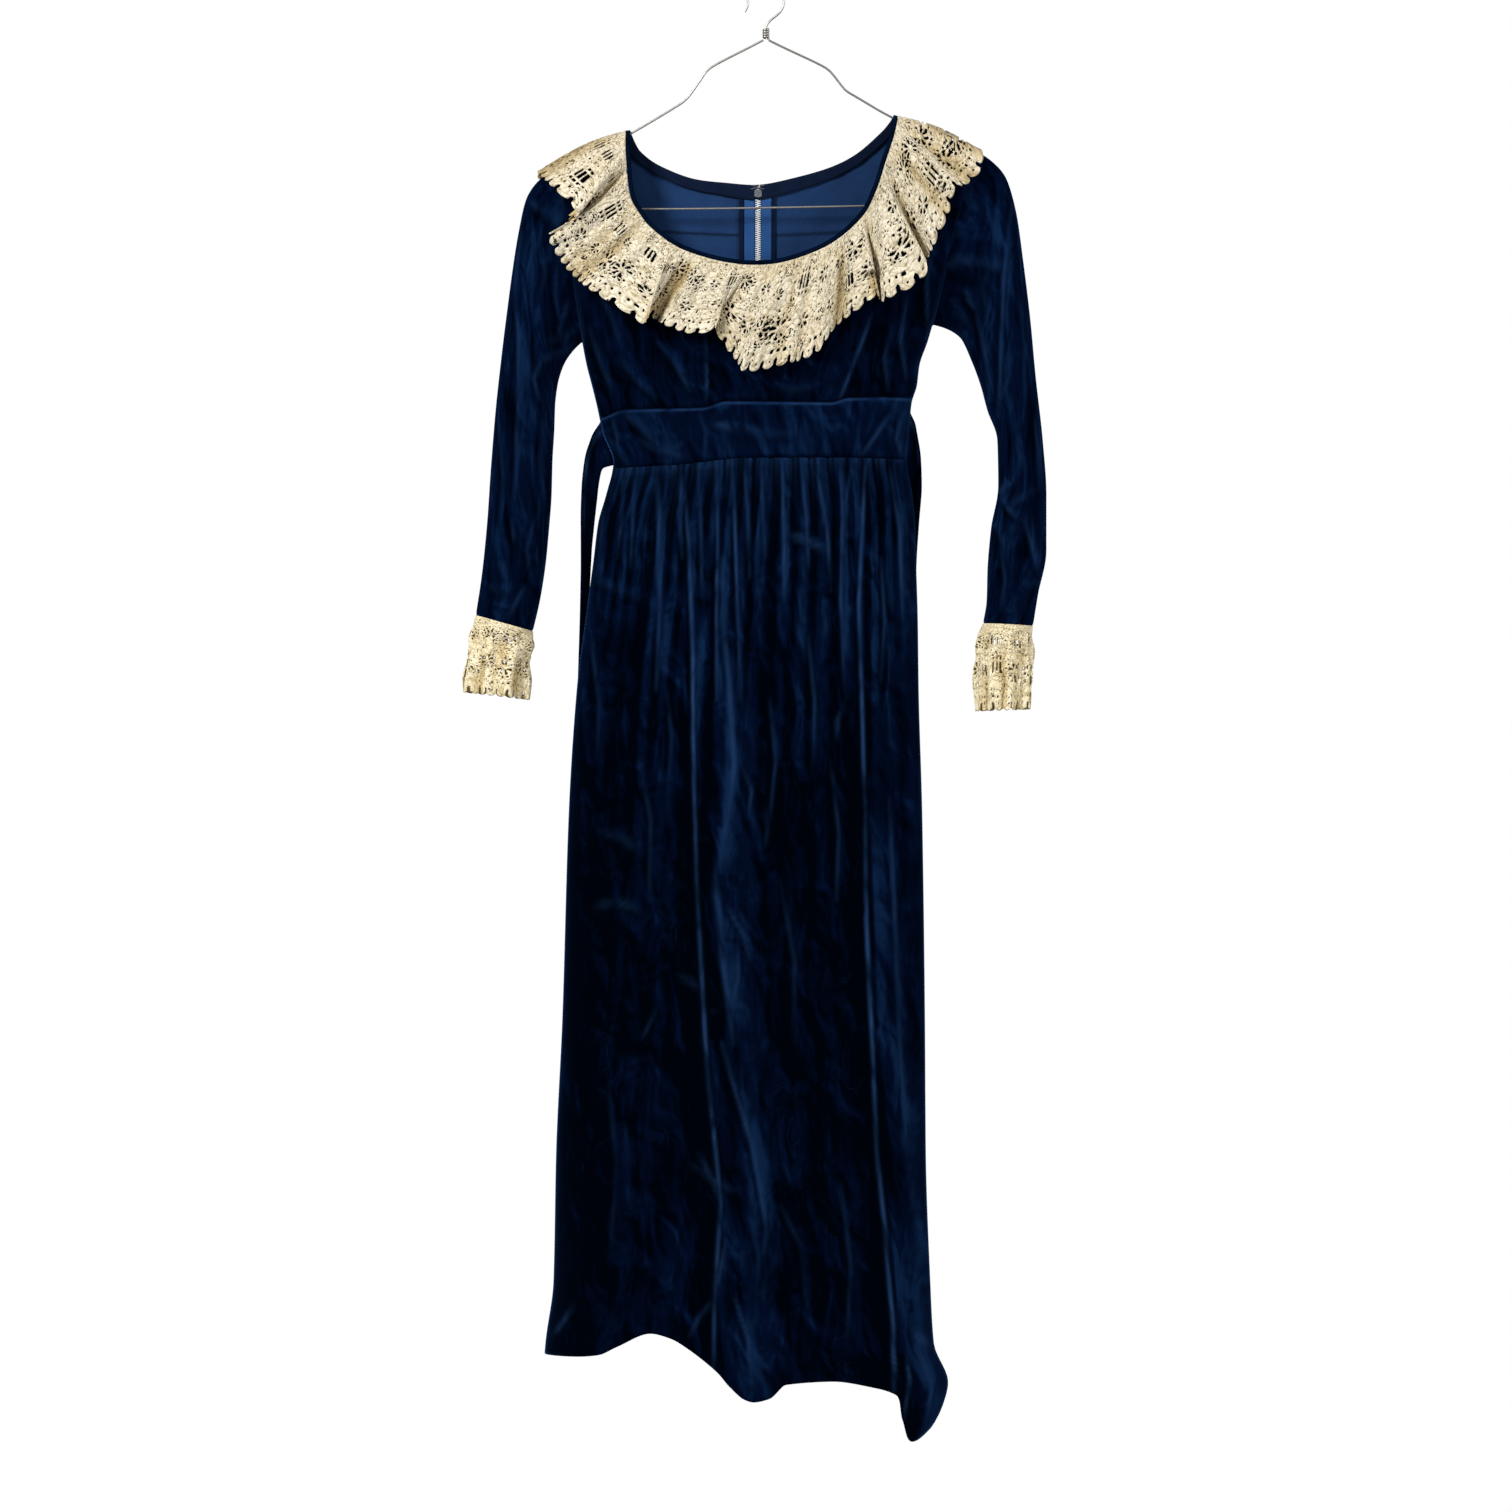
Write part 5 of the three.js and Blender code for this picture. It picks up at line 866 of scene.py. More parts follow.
def cloth_piece(name, columns, rows, place, materials, wall, replaces=(), size=(1, 1), gap=None,
                closed=False, lean=None, darkened=None):
    """A sheet of cloth from a flat grid. place(across, down) gives its points, the way out of the
    garment at each and its painted highlight, and may give painted light and shade as well; gap(across, down)
    says where it is cut away."""
    mesh = bmesh.new()
    cloth = mesh.loops.layers.uv.new("cloth")
    highlight = mesh.verts.layers.float.new("highlight")
    tone_and_painted_light = mesh.verts.layers.float.new("tone_and_painted_light")
    dark_line = mesh.verts.layers.float.new("dark_line")
    bmesh.ops.create_grid(mesh, x_segments=columns, y_segments=rows, size=0.5, calc_uvs=True)
    if gap:
        middles = np.array([face.calc_center_median()[:2] for face in mesh.faces])
        away = gap(middles[:, 0] + 0.5, 0.5 - middles[:, 1])
        spare = [face for face, gone in zip(list(mesh.faces), away) if gone]
        bmesh.ops.delete(mesh, geom=spare, context="FACES")
    flat = np.array([vert.co[:2] for vert in mesh.verts])
    across, down = flat[:, 0] + 0.5, 0.5 - flat[:, 1]
    points, outwards, painted_highlight, *lit = place(across, down)
    # each point's base tone from lean, plus the painted light and shade that place gives
    tones_and_light = lean(points[:, 0], points[:, 2]) if lean else 0.22 + 0 * across
    tones_and_light = tones_and_light + lit[0] if lit else tones_and_light
    darkening = darkened(points[:, 0], points[:, 2]) if darkened else 0 * across
    for vert, spot, highlit, tone_and_light, darkness in zip(mesh.verts, points * MM, painted_highlight, tones_and_light, darkening):
        vert.co = spot
        vert[highlight] = highlit
        vert[tone_and_painted_light] = tone_and_light
        vert[dark_line] = darkness
    for face in mesh.faces:
        face.smooth = True
        for loop in face.loops:
            u, v = loop[cloth].uv
            loop[cloth].uv = (u * size[0], v * size[1])
    if gap:
        edges = [vert for vert in mesh.verts if vert.is_boundary and 0.02 < flat_down(vert, flat) < 0.93]
        bmesh.ops.smooth_vert(
            mesh, verts=edges, factor=0.45, use_axis_x=True, use_axis_y=True, use_axis_z=True
        )
    mesh.normal_update()
    turned = sum(vert.normal.dot(Vector(out)) for vert, out in zip(mesh.verts, outwards))
    if turned < 0:
        bmesh.ops.reverse_faces(mesh, faces=mesh.faces)
    if closed:
        bmesh.ops.remove_doubles(mesh, verts=mesh.verts, dist=0.00002)
    piece = new_piece(name, mesh, materials, replaces)
    solid = piece.modifiers.new("wall", "SOLIDIFY")
    solid.thickness, solid.offset = wall * MM, -1
    if len(materials) > 1:
        solid.material_offset = 1
    return piece


def flat_down(vert, flat):
    return 0.5 - flat[vert.index, 1]


def straight_out(face, count):
    return np.tile((0.0, FACING[face], 0.0), (count, 1))


SLOPE_STEP = 1.2


def slope_light(lift, ahead, above):
    """Painted light and shade: lighter where a fold's flank turns to the right or up, darker on its other flank.
    """
    across, upwards = (ahead - lift) / SLOPE_STEP, (above - lift) / SLOPE_STEP
    return -0.32 * np.tanh(2.4 * across) - 0.2 * np.tanh(2.6 * upwards)


def panel_place(face, high, low, left, right, relief, slide=None):
    """Places on the body's front or back. high and low are the seams above and below."""
    def place(across, down):
        share = slide(across, down) if slide else across
        z = mix(high(0 * across, across), low(0 * across, across), down)
        for _ in range(5):
            x = mix(left(z), right(z), share)
            z = mix(high(x, across), low(x, across), down)
        lift, painted_highlight = relief(x, z, share)
        y = FACING[face] * (HALF_GAP + body_depth(face, x, z) + lift)
        width = right(z) - left(z)
        ahead, _ = relief(x + SLOPE_STEP, z, share + SLOPE_STEP / width)
        above, _ = relief(x, z + SLOPE_STEP, share)
        lit = slope_light(lift, ahead, above)
        return np.stack([x, y, z], axis=1), straight_out(face, len(x)), painted_highlight, lit
    return place


def seam_roll(distance, deep=1.3, wide=3.2):
    """The cloth's edge rolls in towards a seam; distance is from the seam."""
    return -deep * np.exp(-((np.abs(distance) / wide) ** 2))


def left_side(z):
    return side_x(LEFT, z)


def right_side(z):
    return side_x(RIGHT, z)


def back_left_edge(z):
    return 0 * z + BACK_SEAM_X - HALF_GAP


def back_right_edge(z):
    return 0 * z + BACK_SEAM_X + HALF_GAP


def skirt_high(x, across):
    return along(SKIRT_SEAM, x, 1) - HALF_GAP


def small_gathers(x, drop, seed):
    """Short fine gathers between the main ones, just under the seam."""
    draw = np.random.default_rng(seed)
    total = np.zeros_like(x)
    for middle in np.arange(-165, 158, 5.5):
        middle += draw.uniform(-1.8, 1.8)
        length, high = draw.uniform(14, 60), draw.uniform(0.3, 1.1)
        across = np.exp(-(((x - middle) / 1.9) ** 2))
        total += high * across * np.exp(-((np.maximum(drop, 0) / length) ** 1.4))
    return total


FRONT_WRINKLES = scattered_creases(11, 90, (-235, 180), (-1560, -600))
BACK_WRINKLES = scattered_creases(12, 110, (-235, 180), (-1560, -600))


def front_skirt_relief(x, z, share):
    drop = along(SKIRT_SEAM, x, 1) - z
    plain = off_sides(share)
    creased, painted_highlight = crease_relief(SKIRT_CREASES, x, z)
    faint, faint_highlight = crease_relief(FRONT_WRINKLES, x, z)
    high = skirt_relief(GATHERS["front"], FOLDS["front"], x, z, share)
    fine = small_gathers(at_waist(share), drop, 3)
    high = high + plain * (creased + faint + fine) + seam_roll(drop, 1.5, 3)
    # painted highlights on the small gathers' ridges and in a pale line just under the seam
    gather_highlight = 0.3 * np.clip(fine, 0, 1) * np.exp(-np.maximum(drop, 0) / 30)
    puckers = 0.55 * np.clip(fine * 1.2, 0, 1) * np.exp(-(((drop - 3.2) / 2.4) ** 2))
    gather_highlight = np.maximum(gather_highlight, puckers)
    return high, plain * np.maximum.reduce([painted_highlight, faint_highlight, gather_highlight])


def back_skirt_relief(x, z, share):
    drop = along(SKIRT_SEAM, x, 1) - z
    creased, painted_highlight = crease_relief(BACK_WRINKLES, x, z)
    off_zip = ease(np.abs(x - BACK_SEAM_X), 12, 30) * off_sides(share)
    seam = seam_roll(x - BACK_SEAM_X, 0.8, 2.4) * ease(-z, 739, 760)
    high = back_relief(x, z, share) + off_zip * (creased + small_gathers(at_waist(share), drop, 4))
    return high + seam + seam_roll(drop, 1.2, 3), off_zip * painted_highlight


def skirt_tone_and_light(x, z):
    """Base tone, darker towards the hem and lighter near the gathers, with the broad strips' painted light."""
    ground = 0.24 * ease(z, -950, -560) + 0.06
    return np.maximum(ground, 0.06 + 0.9 * painted_strip_light(PAINTED_LIGHT_STRIPS, x, z))


skirt_front = cloth_piece(
    "skirt_front_velvet", 212, 188,
    panel_place("front", skirt_high, lambda x, a: along(HEM["front"], a, 1), left_side, right_side,
                front_skirt_relief),
    (velvet, backing), VELVET, ["skirt_front"], (0.5, 1.07), lean=skirt_tone_and_light,
)


def back_skirt(side):
    seam = of_waist(BACK_SEAM_X)
    low, high = (0, seam) if side == "left" else (seam, 1)
    edges = (left_side, back_left_edge) if side == "left" else (back_right_edge, right_side)
    place = panel_place(
        "back", skirt_high, lambda x, a: along(HEM["back"], mix(low, high, a), 1), *edges,
        lambda x, z, share: back_skirt_relief(x, z, mix(low, high, share)),
    )
    return cloth_piece(
        f"skirt_back_{side}_velvet", 84, 136, place, (velvet, backing), VELVET,
        [f"skirt_back_{side}"], (0.3, 1.05),
    )


skirt_backs = [back_skirt("left"), back_skirt("right")]


# ---- midriff band ----
def band_relief(creases):
    def relief(x, z, share):
        high, painted_highlight = crease_relief(creases, x, z)
        roll = seam_roll(along(EMPIRE_SEAM, x, 1) - z, 1.1, 2.6)
        roll = roll + seam_roll(z - along(SKIRT_SEAM, x, 1), 1.3, 2.8)
        # painted highlight along the band's top, just under the empire seam
        edge_light = 0.55 * np.exp(-(((along(EMPIRE_SEAM, x, 1) - z - 1.6) / 0.9) ** 2))
        plain = off_sides(share)
        return plain * high + roll, np.maximum(plain * painted_highlight, edge_light)
    return relief


def band(face, name, columns, edges, creases, width):
    place = panel_place(
        face, lambda x, a: along(EMPIRE_SEAM, x, 1) - HALF_GAP, lambda x, a: along(SKIRT_SEAM, x, 1) + HALF_GAP,
        *edges, band_relief(creases),
    )
    return cloth_piece(f"{name}_velvet", columns, 30, place, (velvet, backing), VELVET, [name],
                       (width, 0.066), lean=lambda x, z: 0.4 + 0 * x)


band_wrinkles = scattered_creases(21, 26, (-180, 160), (-530, -470), 0.4)
bands = [
    band("front", "band_front", 150, (left_side, right_side), BAND_CREASES, 0.38),
    band("back", "band_back_left", 70, (left_side, back_left_edge), band_wrinkles[:12], 0.18),
    band("back", "band_back_right", 70, (back_right_edge, right_side), band_wrinkles[12:], 0.19),
]


# ---- neck ----
def neck_line(face, grow=0.0, proud=0.0, count=401):
    """The neck's edge over the body, moved out from the opening by grow and off the body by proud."""
    points = NECK[face]
    t = np.linspace(0, 1, count) * (len(points) - 1)
    i = np.minimum(t.astype(int), len(points) - 2)
    w = (t - i)[:, None]
    before, start, end, after = (
        points[np.clip(i + k, 0, len(points) - 1)] for k in (-1, 0, 1, 2)
    )
    v0, v1 = (end - before) / 2, (after - start) / 2
    at = (2 * start - 2 * end + v0 + v1) * w**3 + (-3 * start + 3 * end - 2 * v0 - v1) * w**2 + v0 * w + start
    ahead = 3 * (2 * start - 2 * end + v0 + v1) * w**2 + 2 * (-3 * start + 3 * end - 2 * v0 - v1) * w + v0
    ahead /= np.linalg.norm(ahead, axis=1)[:, None]
    out = np.stack([-ahead[:, 1], ahead[:, 0]], axis=1)
    out[np.sum(out * (at - (BACK_SEAM_X, -160)), axis=1) < 0] *= -1
    x, z = (at + grow * out).T
    return np.stack([x, FACING[face] * (HALF_GAP + body_depth(face, x, z, -proud)), z], axis=1)


def at_shares(line, shares):
    """Points of a line at shares of its length."""
    steps = np.linalg.norm(np.diff(line, axis=0), axis=1)
    lengths = np.concatenate([[0], np.cumsum(steps)])
    return np.stack([np.interp(shares * lengths[-1], lengths, line[:, k]) for k in range(3)], axis=1)


def neck_share(x):
    """How far along the back neck line, as a share of its length, a place across lies."""
    shares = np.linspace(0, 1, 601)
    path = at_shares(neck_line("back", BINDING_WIDTH / 2), shares)
    return shares[np.argmax(path[:, 0] >= x)]


# ---- bodice ----
def bodice_relief(face):
    wrinkles = scattered_creases(31, 22, (-200, 170), (-465, -330), 0.5) if face == "back" else BODICE_CREASES
    def relief(x, z, share):
        creased, painted_highlight = crease_relief(wrinkles, x, z)
        low = z - along(EMPIRE_SEAM, x, 1)
        high = creased + seam_roll(low, 1.1, 2.6)
        armhole = np.minimum(x - side_x(LEFT, z), side_x(RIGHT, z) - x)
        high += seam_roll(armhole, 1.0, 2.6)
        edge_light = np.where(z > -400, 0.35 * np.exp(-(((armhole - 2) / 1.1) ** 2)), 0)
        if face == "front":
            high += dart_relief(x, z)
            # painted highlight along the armhole seams' edges
            painted_highlight = np.maximum(painted_highlight, edge_light)
        else:
            high *= ease(np.abs(x - BACK_SEAM_X), 4, 20)
        return high, painted_highlight
    return relief


def bodice_top(face, columns, side):
    """(place across, height) along a bodice panel's upper edge: shoulders and neck."""
    neck = neck_line(face, BINDING_WIDTH + NECK_CLEARANCE)[:, [0, 2]]
    start = np.linspace(ARMHOLES[LEFT][0] + 1.0, neck[0, 0] - NECK_CLEARANCE, 40)
    end = np.linspace(neck[-1, 0] + NECK_CLEARANCE, ARMHOLES[RIGHT][0] - 1.0, 40)
    line = np.concatenate([
        np.stack([start, ridge_z(start)], axis=1), neck, np.stack([end, ridge_z(end)], axis=1),
    ])
    if side == "left":
        line = line[line[:, 0] <= BACK_SEAM_X - HALF_GAP]
        line = np.concatenate([line, [(BACK_SEAM_X - HALF_GAP, line[-1, 1])]])
    if side == "right":
        line = line[line[:, 0] >= BACK_SEAM_X + HALF_GAP]
        line = np.concatenate([[(BACK_SEAM_X + HALF_GAP, line[0, 1])], line])
    shares = np.linspace(0, 1, columns + 1)
    return at_shares(np.stack([line[:, 0], line[:, 1], 0 * line[:, 0]], axis=1), shares)[:, :2]


def bodice(face, name, side, columns, rows, edges, size):
    top = bodice_top(face, columns, side)
    shares = np.linspace(0, 1, columns + 1)
    left, right = edges
    top_share = (top[:, 0] - left(top[:, 1])) / (right(top[:, 1]) - left(top[:, 1]))
    def slide(across, down):
        return mix(np.interp(across, shares, top_share), across, down**0.8)
    def high(x, across):
        return np.interp(across, shares, top[:, 1])
    place = panel_place(face, high, lambda x, a: along(EMPIRE_SEAM, x, 1) + HALF_GAP, left, right,
                        bodice_relief(face), slide)
    def dark_line_across(x, z):
        """A thin dark line painted across the inside of the back, a little bowed."""
        away = z - DARK_LINE_Z + 3 * np.cos((x - BACK_SEAM_X) / 55)
        return 0.9 * np.exp(-((away / 1.6) ** 2)) * (face == "back")
    return cloth_piece(f"{name}_velvet", columns, rows, place, (velvet, backing), VELVET, [name], size,
                       darkened=dark_line_across)


bodices = [
    bodice("front", "front_bodice", "whole", 150, 84, (left_side, right_side), (0.52, 0.3)),
    bodice("back", "back_bodice_left", "left", 70, 120, (left_side, back_left_edge), (0.26, 0.3)),
    bodice("back", "back_bodice_right", "right", 70, 120, (back_right_edge, right_side), (0.26, 0.3)),
]


def binding(face, name, start, end):
    """A folded velvet strip over the neck's cut edge."""
    shares = np.linspace(0, 1, 9)
    lines = []
    for k in shares:
        turn = math.pi * k
        grow = BINDING_WIDTH / 2 - (BINDING_WIDTH / 2) * math.cos(turn)
        lines.append((grow, -0.5 + 1.6 * math.sin(turn)))
    def place(across, down):
        points = np.zeros((len(across), 3))
        for k, (grow, proud) in enumerate(lines):
            here = np.abs(down - shares[k]) < 0.01
            line = neck_line(face, grow, proud)
            points[here] = at_shares(line, mix(start, end, across[here]))
        puckers = 0.25 * np.sin(across * 190) * np.sin(across * 61 + 1)
        points[:, 1] += FACING[face] * puckers * np.sin(math.pi * down)
        # painted highlight along the fold's crest
        return points, straight_out(face, len(across)), 0.25 * np.sin(math.pi * down) ** 6
    columns, long = (150, 0.6) if face == "front" else (80, 0.24)
    return cloth_piece(f"{name}_strip", columns, 8, place, (velvet_edge,), 1.9, [name],
                       (long, 0.016))


seam_share = neck_share(BACK_SEAM_X)
bindings = [
    binding("front", "binding_front", 0, 1),
    binding("back", "binding_back_left", 0, seam_share - 0.001),
    binding("back", "binding_back_right", seam_share + 0.001, 1),
]


# ---- lace ----
SCALLOP_PITCH = 11.6
EDGE_BAND = 12.0  # the closely worked edge, in millimetres


class LaceWork:
    """The lace's motifs: flowers of petal-shaped gaps and ladders of slots, with raised rims, in two
    staggered rows, and pinholes in between. near and far are the lace's real lengths at its sewn
    edge and its scalloped one, width its depth, all in millimetres."""

    def __init__(self, near, far, width, seed):
        self.near, self.far, self.width = near, far, width
        draw = random.Random(seed)
        self.motifs = []
        middle = (near + far) / 2
        rows = (width * 0.3, width * 0.66) if width > 60 else (width * 0.45,)
        for row, height in enumerate(rows):
            count = round(mix(near, far, height / width) / 22)
            for k in range(count):
                self.motifs.append({
                    "at": (k + 0.5 + 0.5 * (row % 2) + draw.uniform(-0.16, 0.16)) / count % 1,
                    "height": height + draw.uniform(-4, 4),
                    "radius": draw.uniform(6.5, 11.5),
                    "petals": draw.choice((6, 7, 7, 8)),
                    "turned": draw.uniform(0, 6.3),
                    "closed": draw.uniform(-3.1, 3.1),
                    "ladder": draw.random() < 0.28,
                })
        self.middle = middle
        self.pins = np.random.default_rng(seed).random((400, 400))

    def look(self, across, down):
        """(open, raised height) at places in the lace."""
        height = down * self.width
        length = mix(self.near, self.far, down)
        is_open, raised = np.zeros(len(across), bool), np.zeros(len(across))
        in_motif = np.zeros(len(across), bool)
        for motif in self.motifs:
            dx = (across - motif["at"]) * length
            dz = height - motif["height"]
            away = np.hypot(dx, dz) / motif["radius"]
            near = away < 1.15
            angle = np.arctan2(dz, dx) + motif["turned"]
            if motif["ladder"]:
                inside = (np.abs(dx) < 5.5) & (np.abs(dz) < motif["radius"])
                slots = (np.cos(dx * 2 * math.pi / 3.9) > 0.1) & (np.abs(dz) % 8.5 < 5.6)
                is_open |= inside & slots
                in_motif |= inside
            else:
                petals = np.cos(angle * motif["petals"])
                ring = (away > 0.28) & (away < 0.76) & (petals > 0.12)
                outer = (away > 0.86) & (away < 1.06) & (np.cos(angle * motif["petals"] * 2) > 0.35)
                worked = np.abs(np.angle(np.exp(1j * (angle - motif["closed"])))) < 0.5
                is_open |= (ring | (outer & (motif["radius"] > 9))) & ~worked
                in_motif |= near
            raised += np.where(near, 0.8 * np.exp(-(((away - 0.82) / 0.14) ** 2)), 0)
            raised += np.where(near, 0.9 * np.exp(-((away / 0.24) ** 2)), 0)
        net = np.sin(across * self.middle / 9.1) * np.sin(height / 8.3 + across * self.middle / 23) > -0.15
        column, row = (np.floor(across * 1399).astype(int) % 400, np.floor(height / 1.2).astype(int) % 400)
        is_open |= ~in_motif & net & (self.pins[row, column] < 0.09)
        in_edge = height > self.width - EDGE_BAND
        place = ((across * self.far) % SCALLOP_PITCH) / SCALLOP_PITCH * 2 - 1
        from_edge = self.width - height
        bud = (np.abs(place) < 0.12) & (np.abs(from_edge - 4.4) < 0.7) & (self.pins[3, column] < 0.6)
        notch = (np.abs(place) > 0.78) & (from_edge < 3.6)
        spaced = (np.cos(place * math.pi * 2) > 0.5) & (self.pins[7, column] < 0.75)
        bars = (np.abs(from_edge - 9.4) < 0.8) & spaced
        is_open = np.where(in_edge | (height < 2.6), bud | notch | bars, is_open)
        raised = np.where(in_edge, 1.1 * np.cos(place * math.pi / 2) ** 2, raised)
        return is_open, raised

    def scallop(self, across):
        """How far the round tips of the edge stand out."""
        place = ((across * self.far) % SCALLOP_PITCH) / SCALLOP_PITCH * 2 - 1
        return 6.4 * np.sqrt(np.maximum(0.0, 1 - place**2)) - 1.8

    def gap(self, across, down):
        return self.look(across, down)[0]


# where the ruffle folds over itself: place along it, how far the fold leans over to the right,
# how much higher it stands, half its width as a share of the ruffle's length
FRONT_OVERLAPS = (
    (0.078, 25, 10, 0.019), (0.155, -7, 5, 0.017), (0.25, -7, 4, 0.02), (0.299, 29, 12, 0.019),
    (0.395, -8, 3, 0.014), (0.452, 21, 8, 0.016), (0.5, -6, 3, 0.014), (0.56, -9, 4, 0.02), (0.61, 7, 4, 0.014),
    (0.66, 9, 5, 0.018), (0.735, 14, 6, 0.018), (0.8, -15, 8, 0.02), (0.845, 18, 8, 0.015),
    (0.9, -9, 5, 0.014), (0.95, 8, 5, 0.012),
)
BACK_OVERLAPS = (
    (0.12, 8, 4, 0.03), (0.3, -8, 4, 0.035), (0.42, 9, 4, 0.03), (0.58, -8, 4, 0.03), (0.72, 9, 4, 0.035),
    (0.86, -7, 4, 0.03),
)


# where a pleat's upper layer ends short of the edge and shows the wrong side below it: place along
# the ruffle, half its width, where it ends down the lace, how high it stands
FLAPS = {"front": ((0.748, 0.021, 0.7, 7), (0.108, 0.012, 0.66, 5)), "back": ()}


def ruffle_place(face, edge_rows, start, end, work, overlaps, seed):
    draw = np.random.default_rng(seed)
    waves = [(draw.uniform(0.5, 1.2), int(n), draw.uniform(0, 6.3)) for n in (17, 23, 31, 43)]
    neck = neck_line(face, BINDING_WIDTH + SEAM_GAP, COLLAR_PROUD)
    def place(across, down):
        base = at_shares(neck, mix(start, end, across))
        edge_x, edge_z = along(edge_rows, across, 1), along(edge_rows, across, 2)
        step = 0.004
        before, after = np.maximum(0, across - step), np.minimum(1, across + step)
        way_x, way_z = (along(edge_rows, after, k) - along(edge_rows, before, k) for k in (1, 2))
        way = np.hypot(way_x, way_z)
        out = down + work.scallop(across) / work.width * ease(down, 0.86, 1)
        # gathers: fine flutes at the neck that run into the broad waves of the edge
        flutes = sum(high * np.sin(n * 2 * math.pi * across + phase) for high, n, phase in waves)
        sway = 1.3 * np.sin(across * 2 * math.pi * 19 + 1) * np.sin(math.pi * np.clip(down, 0, 1))
        lean, stand = np.zeros(len(across)), np.zeros(len(across))
        for middle, over, high, wide in overlaps:
            bump = np.exp(-(((across - middle) / wide) ** 2))
            lean, stand = lean + over * bump, stand + high * bump
        grown = np.clip(down, 0, 1) ** 1.2
        x = mix(base[:, 0], edge_x, out) + sway + lean * grown * way_x / way
        z = mix(base[:, 2], edge_z, out) + 0.6 * sway + lean * grown * way_z / way
        on_chest = ease(ridge_z(x) + COLLAR_PROUD + 4 - z, 0, 26)
        puff = 9 * np.sin(math.pi * np.minimum(1, out)) * (1 - on_chest)
        lift = (along(edge_rows, across, 3) + stand) * np.maximum(out, 0) ** 0.8 * mix(0.35, 1, on_chest)
        lift = lift + on_chest * flutes * np.sin(math.pi * np.clip(down * 0.8 + 0.1, 0, 1)) * 1.1
        lift = lift + work.look(across, down)[1]
        shown = np.zeros(len(across))
        for middle, half, ends, high in FLAPS[face]:
            inside = ease(half - np.abs(across - middle), 0, 0.008)
            below = ease(down - ends - 0.018 * np.abs(np.sin((across - middle) * 310)), 0, 0.016)
            upper = high * inside * ease(down, ends - 0.4, ends - 0.05) * (1 - below)
            lift = lift + upper - 2 * inside * below
            lift = lift + 0.9 * inside * below * np.sin((across - middle) * 900)
            shown = np.maximum(shown, inside * below)
        depth = body_depth(face, x, z, -COLLAR_PROUD) + 3 * np.minimum(1, out * 4) + lift
        y = FACING[face] * (HALF_GAP + np.maximum(0.4, depth))
        z = z + (1 - on_chest) * puff * 0.6
        # how high the lace stands among its own folds, for its painted shade, which is also darker where a flap
        # shows the wrong side below it
        raised = np.clip((lift - flutes * 0.4) / (14 * np.maximum(out, 0.3)), 0.1, 1)
        lit = mix(0.75, raised, ease(out, 0.05, 0.4)) * (1 - 0.65 * shown) - 0.22
        return np.stack([x, y, z], axis=1), straight_out(face, len(x)), 0 * x, lit
    return place


def ruffle(face, name, edge_rows, start, end, columns, rows, work, overlaps, seed):
    return cloth_piece(
        f"{name}_lace", columns, rows, ruffle_place(face, edge_rows, start, end, work, overlaps, seed),
        (lace, shaded_lace_wrong_side), LACE, [name], (work.middle * MM, work.width * MM), work.gap,
    )


gap_left, gap_right = neck_share(BACK_SEAM_X - 7), neck_share(BACK_SEAM_X + 7)
ruffles = [
    ruffle("front", "collar_front", RUFFLE_FRONT, 0, 1, 590, 72, LaceWork(470, 880, 84, 5), FRONT_OVERLAPS, 5),
    ruffle("back", "collar_back_left", RUFFLE_BACK["left"], 0, gap_left, 200, 62, LaceWork(170, 330, 82, 6),
           BACK_OVERLAPS, 6),
    ruffle("back", "collar_back_right", RUFFLE_BACK["right"], 1, gap_right, 200, 62, LaceWork(170, 330, 82, 7),
           BACK_OVERLAPS, 7),
]


# ---- sleeves and cuffs ----
def tube_place(rows, creases, start=0.0, end=1.0, shift=0.0, waves=None, folds=None):
    """Places round a sleeve or cuff, from its upper end down; across 0 to 1 goes from start to end
    of the whole turn, outer edge first and then over the front."""
    keys = np.linspace(0, 1, len(rows))
    table = np.column_stack([keys, rows])
    def place(across, down):
        angle = mix(start, end, across) * 2 * math.pi
        at = np.clip(down, 0, 1)
        outer_x, outer_z, inner_x, inner_z, front, back = (along(table, at, k) for k in range(1, 7))
        middle_x, middle_z = (outer_x + inner_x) / 2, (outer_z + inner_z) / 2
        half = np.hypot(outer_x - inner_x, outer_z - inner_z) / 2
        way_x, way_z = (outer_x - middle_x) / half, (outer_z - middle_z) / half
        depth = np.where(np.sin(angle) >= 0, front, back)
        gather = waves(angle, down) if waves else 0
        x = middle_x + np.cos(angle) * way_x * (half + gather)
        z = middle_z + np.cos(angle) * way_z * (half + gather)
        y = -np.sin(angle) * (depth + gather) + shift
        high, painted_highlight = crease_relief(creases, x, z)
        ahead, _ = crease_relief(creases, x + SLOPE_STEP, z)
        above, _ = crease_relief(creases, x, z + SLOPE_STEP)
        facing_front = ease(np.sin(angle), -0.1, 0.5)
        lit = facing_front * slope_light(high, ahead, above)
        if folds:
            # the back's wrinkles, with their painted highlights
            back_high, back_highlight = crease_relief(folds, x, z)
            facing_back = ease(-np.sin(angle), -0.1, 0.5)
            high = high * facing_front + back_high * facing_back
            painted_highlight = painted_highlight * facing_front + back_highlight * facing_back
        else:
            high, painted_highlight = high * facing_front, painted_highlight * facing_front
        y -= np.sin(angle) * high
        x += np.cos(angle) * way_x * high * 0.6
        z += np.cos(angle) * way_z * high * 0.6
        out = np.stack([np.cos(angle) * way_x, -np.sin(angle), np.cos(angle) * way_z], axis=1)
        return np.stack([x, y, z], axis=1), out, 0.6 * painted_highlight, lit
    return place


SLEEVE_LONG = 480


